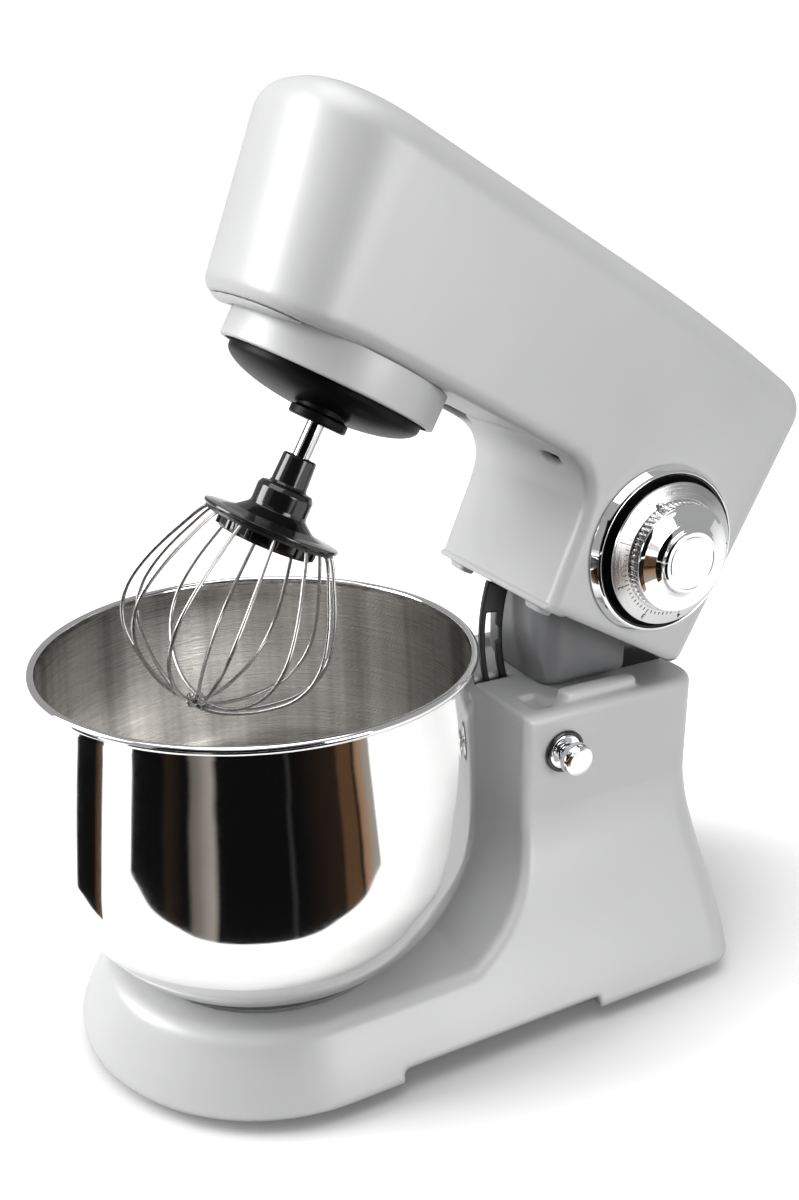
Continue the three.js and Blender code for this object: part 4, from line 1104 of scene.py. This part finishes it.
BLACK = (0.004, 0.004, 0.004)
UMBER, OAK, TAN = (0.02, 0.013, 0.009), (0.10, 0.052, 0.026), (0.34, 0.20, 0.12)
GREY, STONE, SAND = (0.03, 0.03, 0.03), (0.16, 0.145, 0.125), (0.34, 0.31, 0.275)
main_streaks = streak_look("flag_streaks", [
    (0.0, BLACK), (0.13, BLACK), (0.16, UMBER), (0.24, BLACK), (0.27, STONE), (0.34, SAND), (0.37, BLACK),
    (0.63, BLACK), (0.645, GREY), (0.66, BLACK), (0.84, UMBER), (0.86, OAK), (0.91, OAK), (0.92, BLACK),
    (0.94, TAN), (1.0, SAND)])
side_streaks = streak_look("flag_side", [(0.0, BLACK), (0.7, BLACK), (0.9, OAK), (1.0, UMBER)])
FLAG_FAR, FLAG_Z = 1.5, 0.002
flag_sector("flag_main", -80, 29, FLAG_FAR, FLAG_Z, main_streaks,
            lambda t: 0.238 + 0.12 * abs(2 * t - 1) ** 2.6)
flag_sector("flag_side", -113, -96, FLAG_FAR, FLAG_Z, side_streaks, lambda t: 0.27 - 0.045 * t)
dark = glow_look("flag_dark", BLACK, 1)[0]
bearings = [math.radians(a) for a in (-70, -45, -20, 5)]
corners = [(FLAG_FAR * math.cos(a), FLAG_FAR * math.sin(a)) for a in bearings]
wall_verts = [(x, y, z) for x, y in corners for z in (0.05, 1.3)]
wall_faces = [(2 * k, 2 * k + 2, 2 * k + 3, 2 * k + 1) for k in range(len(corners) - 1)]
seen_by(stage_mesh("flag_room", wall_verts, wall_faces, dark), glossy=True)


def area(name, place, target, size, power, color=(1, 1, 1)):
    light = bpy.data.lights.new(name, "AREA")
    light.shape = "RECTANGLE"
    light.size, light.size_y = size
    light.energy = power
    light.color = color
    obj = bpy.data.objects.new(name, light)
    bpy.context.scene.collection.objects.link(obj)
    obj.location = place
    obj.rotation_euler = (Vector(target) - Vector(place)).to_track_quat("-Z", "Y").to_euler()


area("top_box", (0.1, -0.3, 2.2), (0, 0, 0.2), (1.8, 1.8), 24)
area("left_box", (-0.8, -1.8, 1.3), (0, 0, 0.3), (1.1, 1.4), 44)
area("right_box", (1.9, 0.55, 0.6), (0, 0.1, 0.25), (0.9, 0.9), 15)

world = bpy.data.worlds.new("studio")
bpy.context.scene.world = world
world.use_nodes = True
world.node_tree.nodes["Background"].inputs["Color"].default_value = (1, 1, 1, 1)
world.node_tree.nodes["Background"].inputs["Strength"].default_value = 0.37

scene = bpy.context.scene
scene.view_settings.view_transform = "Standard"

# ---------------------------------------------------------------- camera
YAW, PITCH, ROLL = 1.09158407, 0.349688178, -0.0111768275
forward = Vector((-math.sin(YAW) * math.cos(PITCH), math.cos(YAW) * math.cos(PITCH), -math.sin(PITCH)))
level_right = Vector((math.cos(YAW), math.sin(YAW), 0))
level_up = level_right.cross(forward)
right = level_right * math.cos(ROLL) + level_up * math.sin(ROLL)
up = level_up * math.cos(ROLL) - level_right * math.sin(ROLL)
camera_data = bpy.data.cameras.new("camera")
SENSOR, FOCAL_PX, FRAME_PX = 36, 1200.38, 1200
camera_data.sensor_width = SENSOR
camera_data.lens = SENSOR * FOCAL_PX / FRAME_PX
camera = bpy.data.objects.new("camera", camera_data)
bpy.context.scene.collection.objects.link(camera)
eye = BASE @ (Vector((555.506, -203.183, 458.986)) * MM)
camera.matrix_world = Matrix((
    (right.x, up.x, -forward.x, eye.x),
    (right.y, up.y, -forward.y, eye.y),
    (right.z, up.z, -forward.z, eye.z),
    (0, 0, 0, 1)))
scene.camera = camera
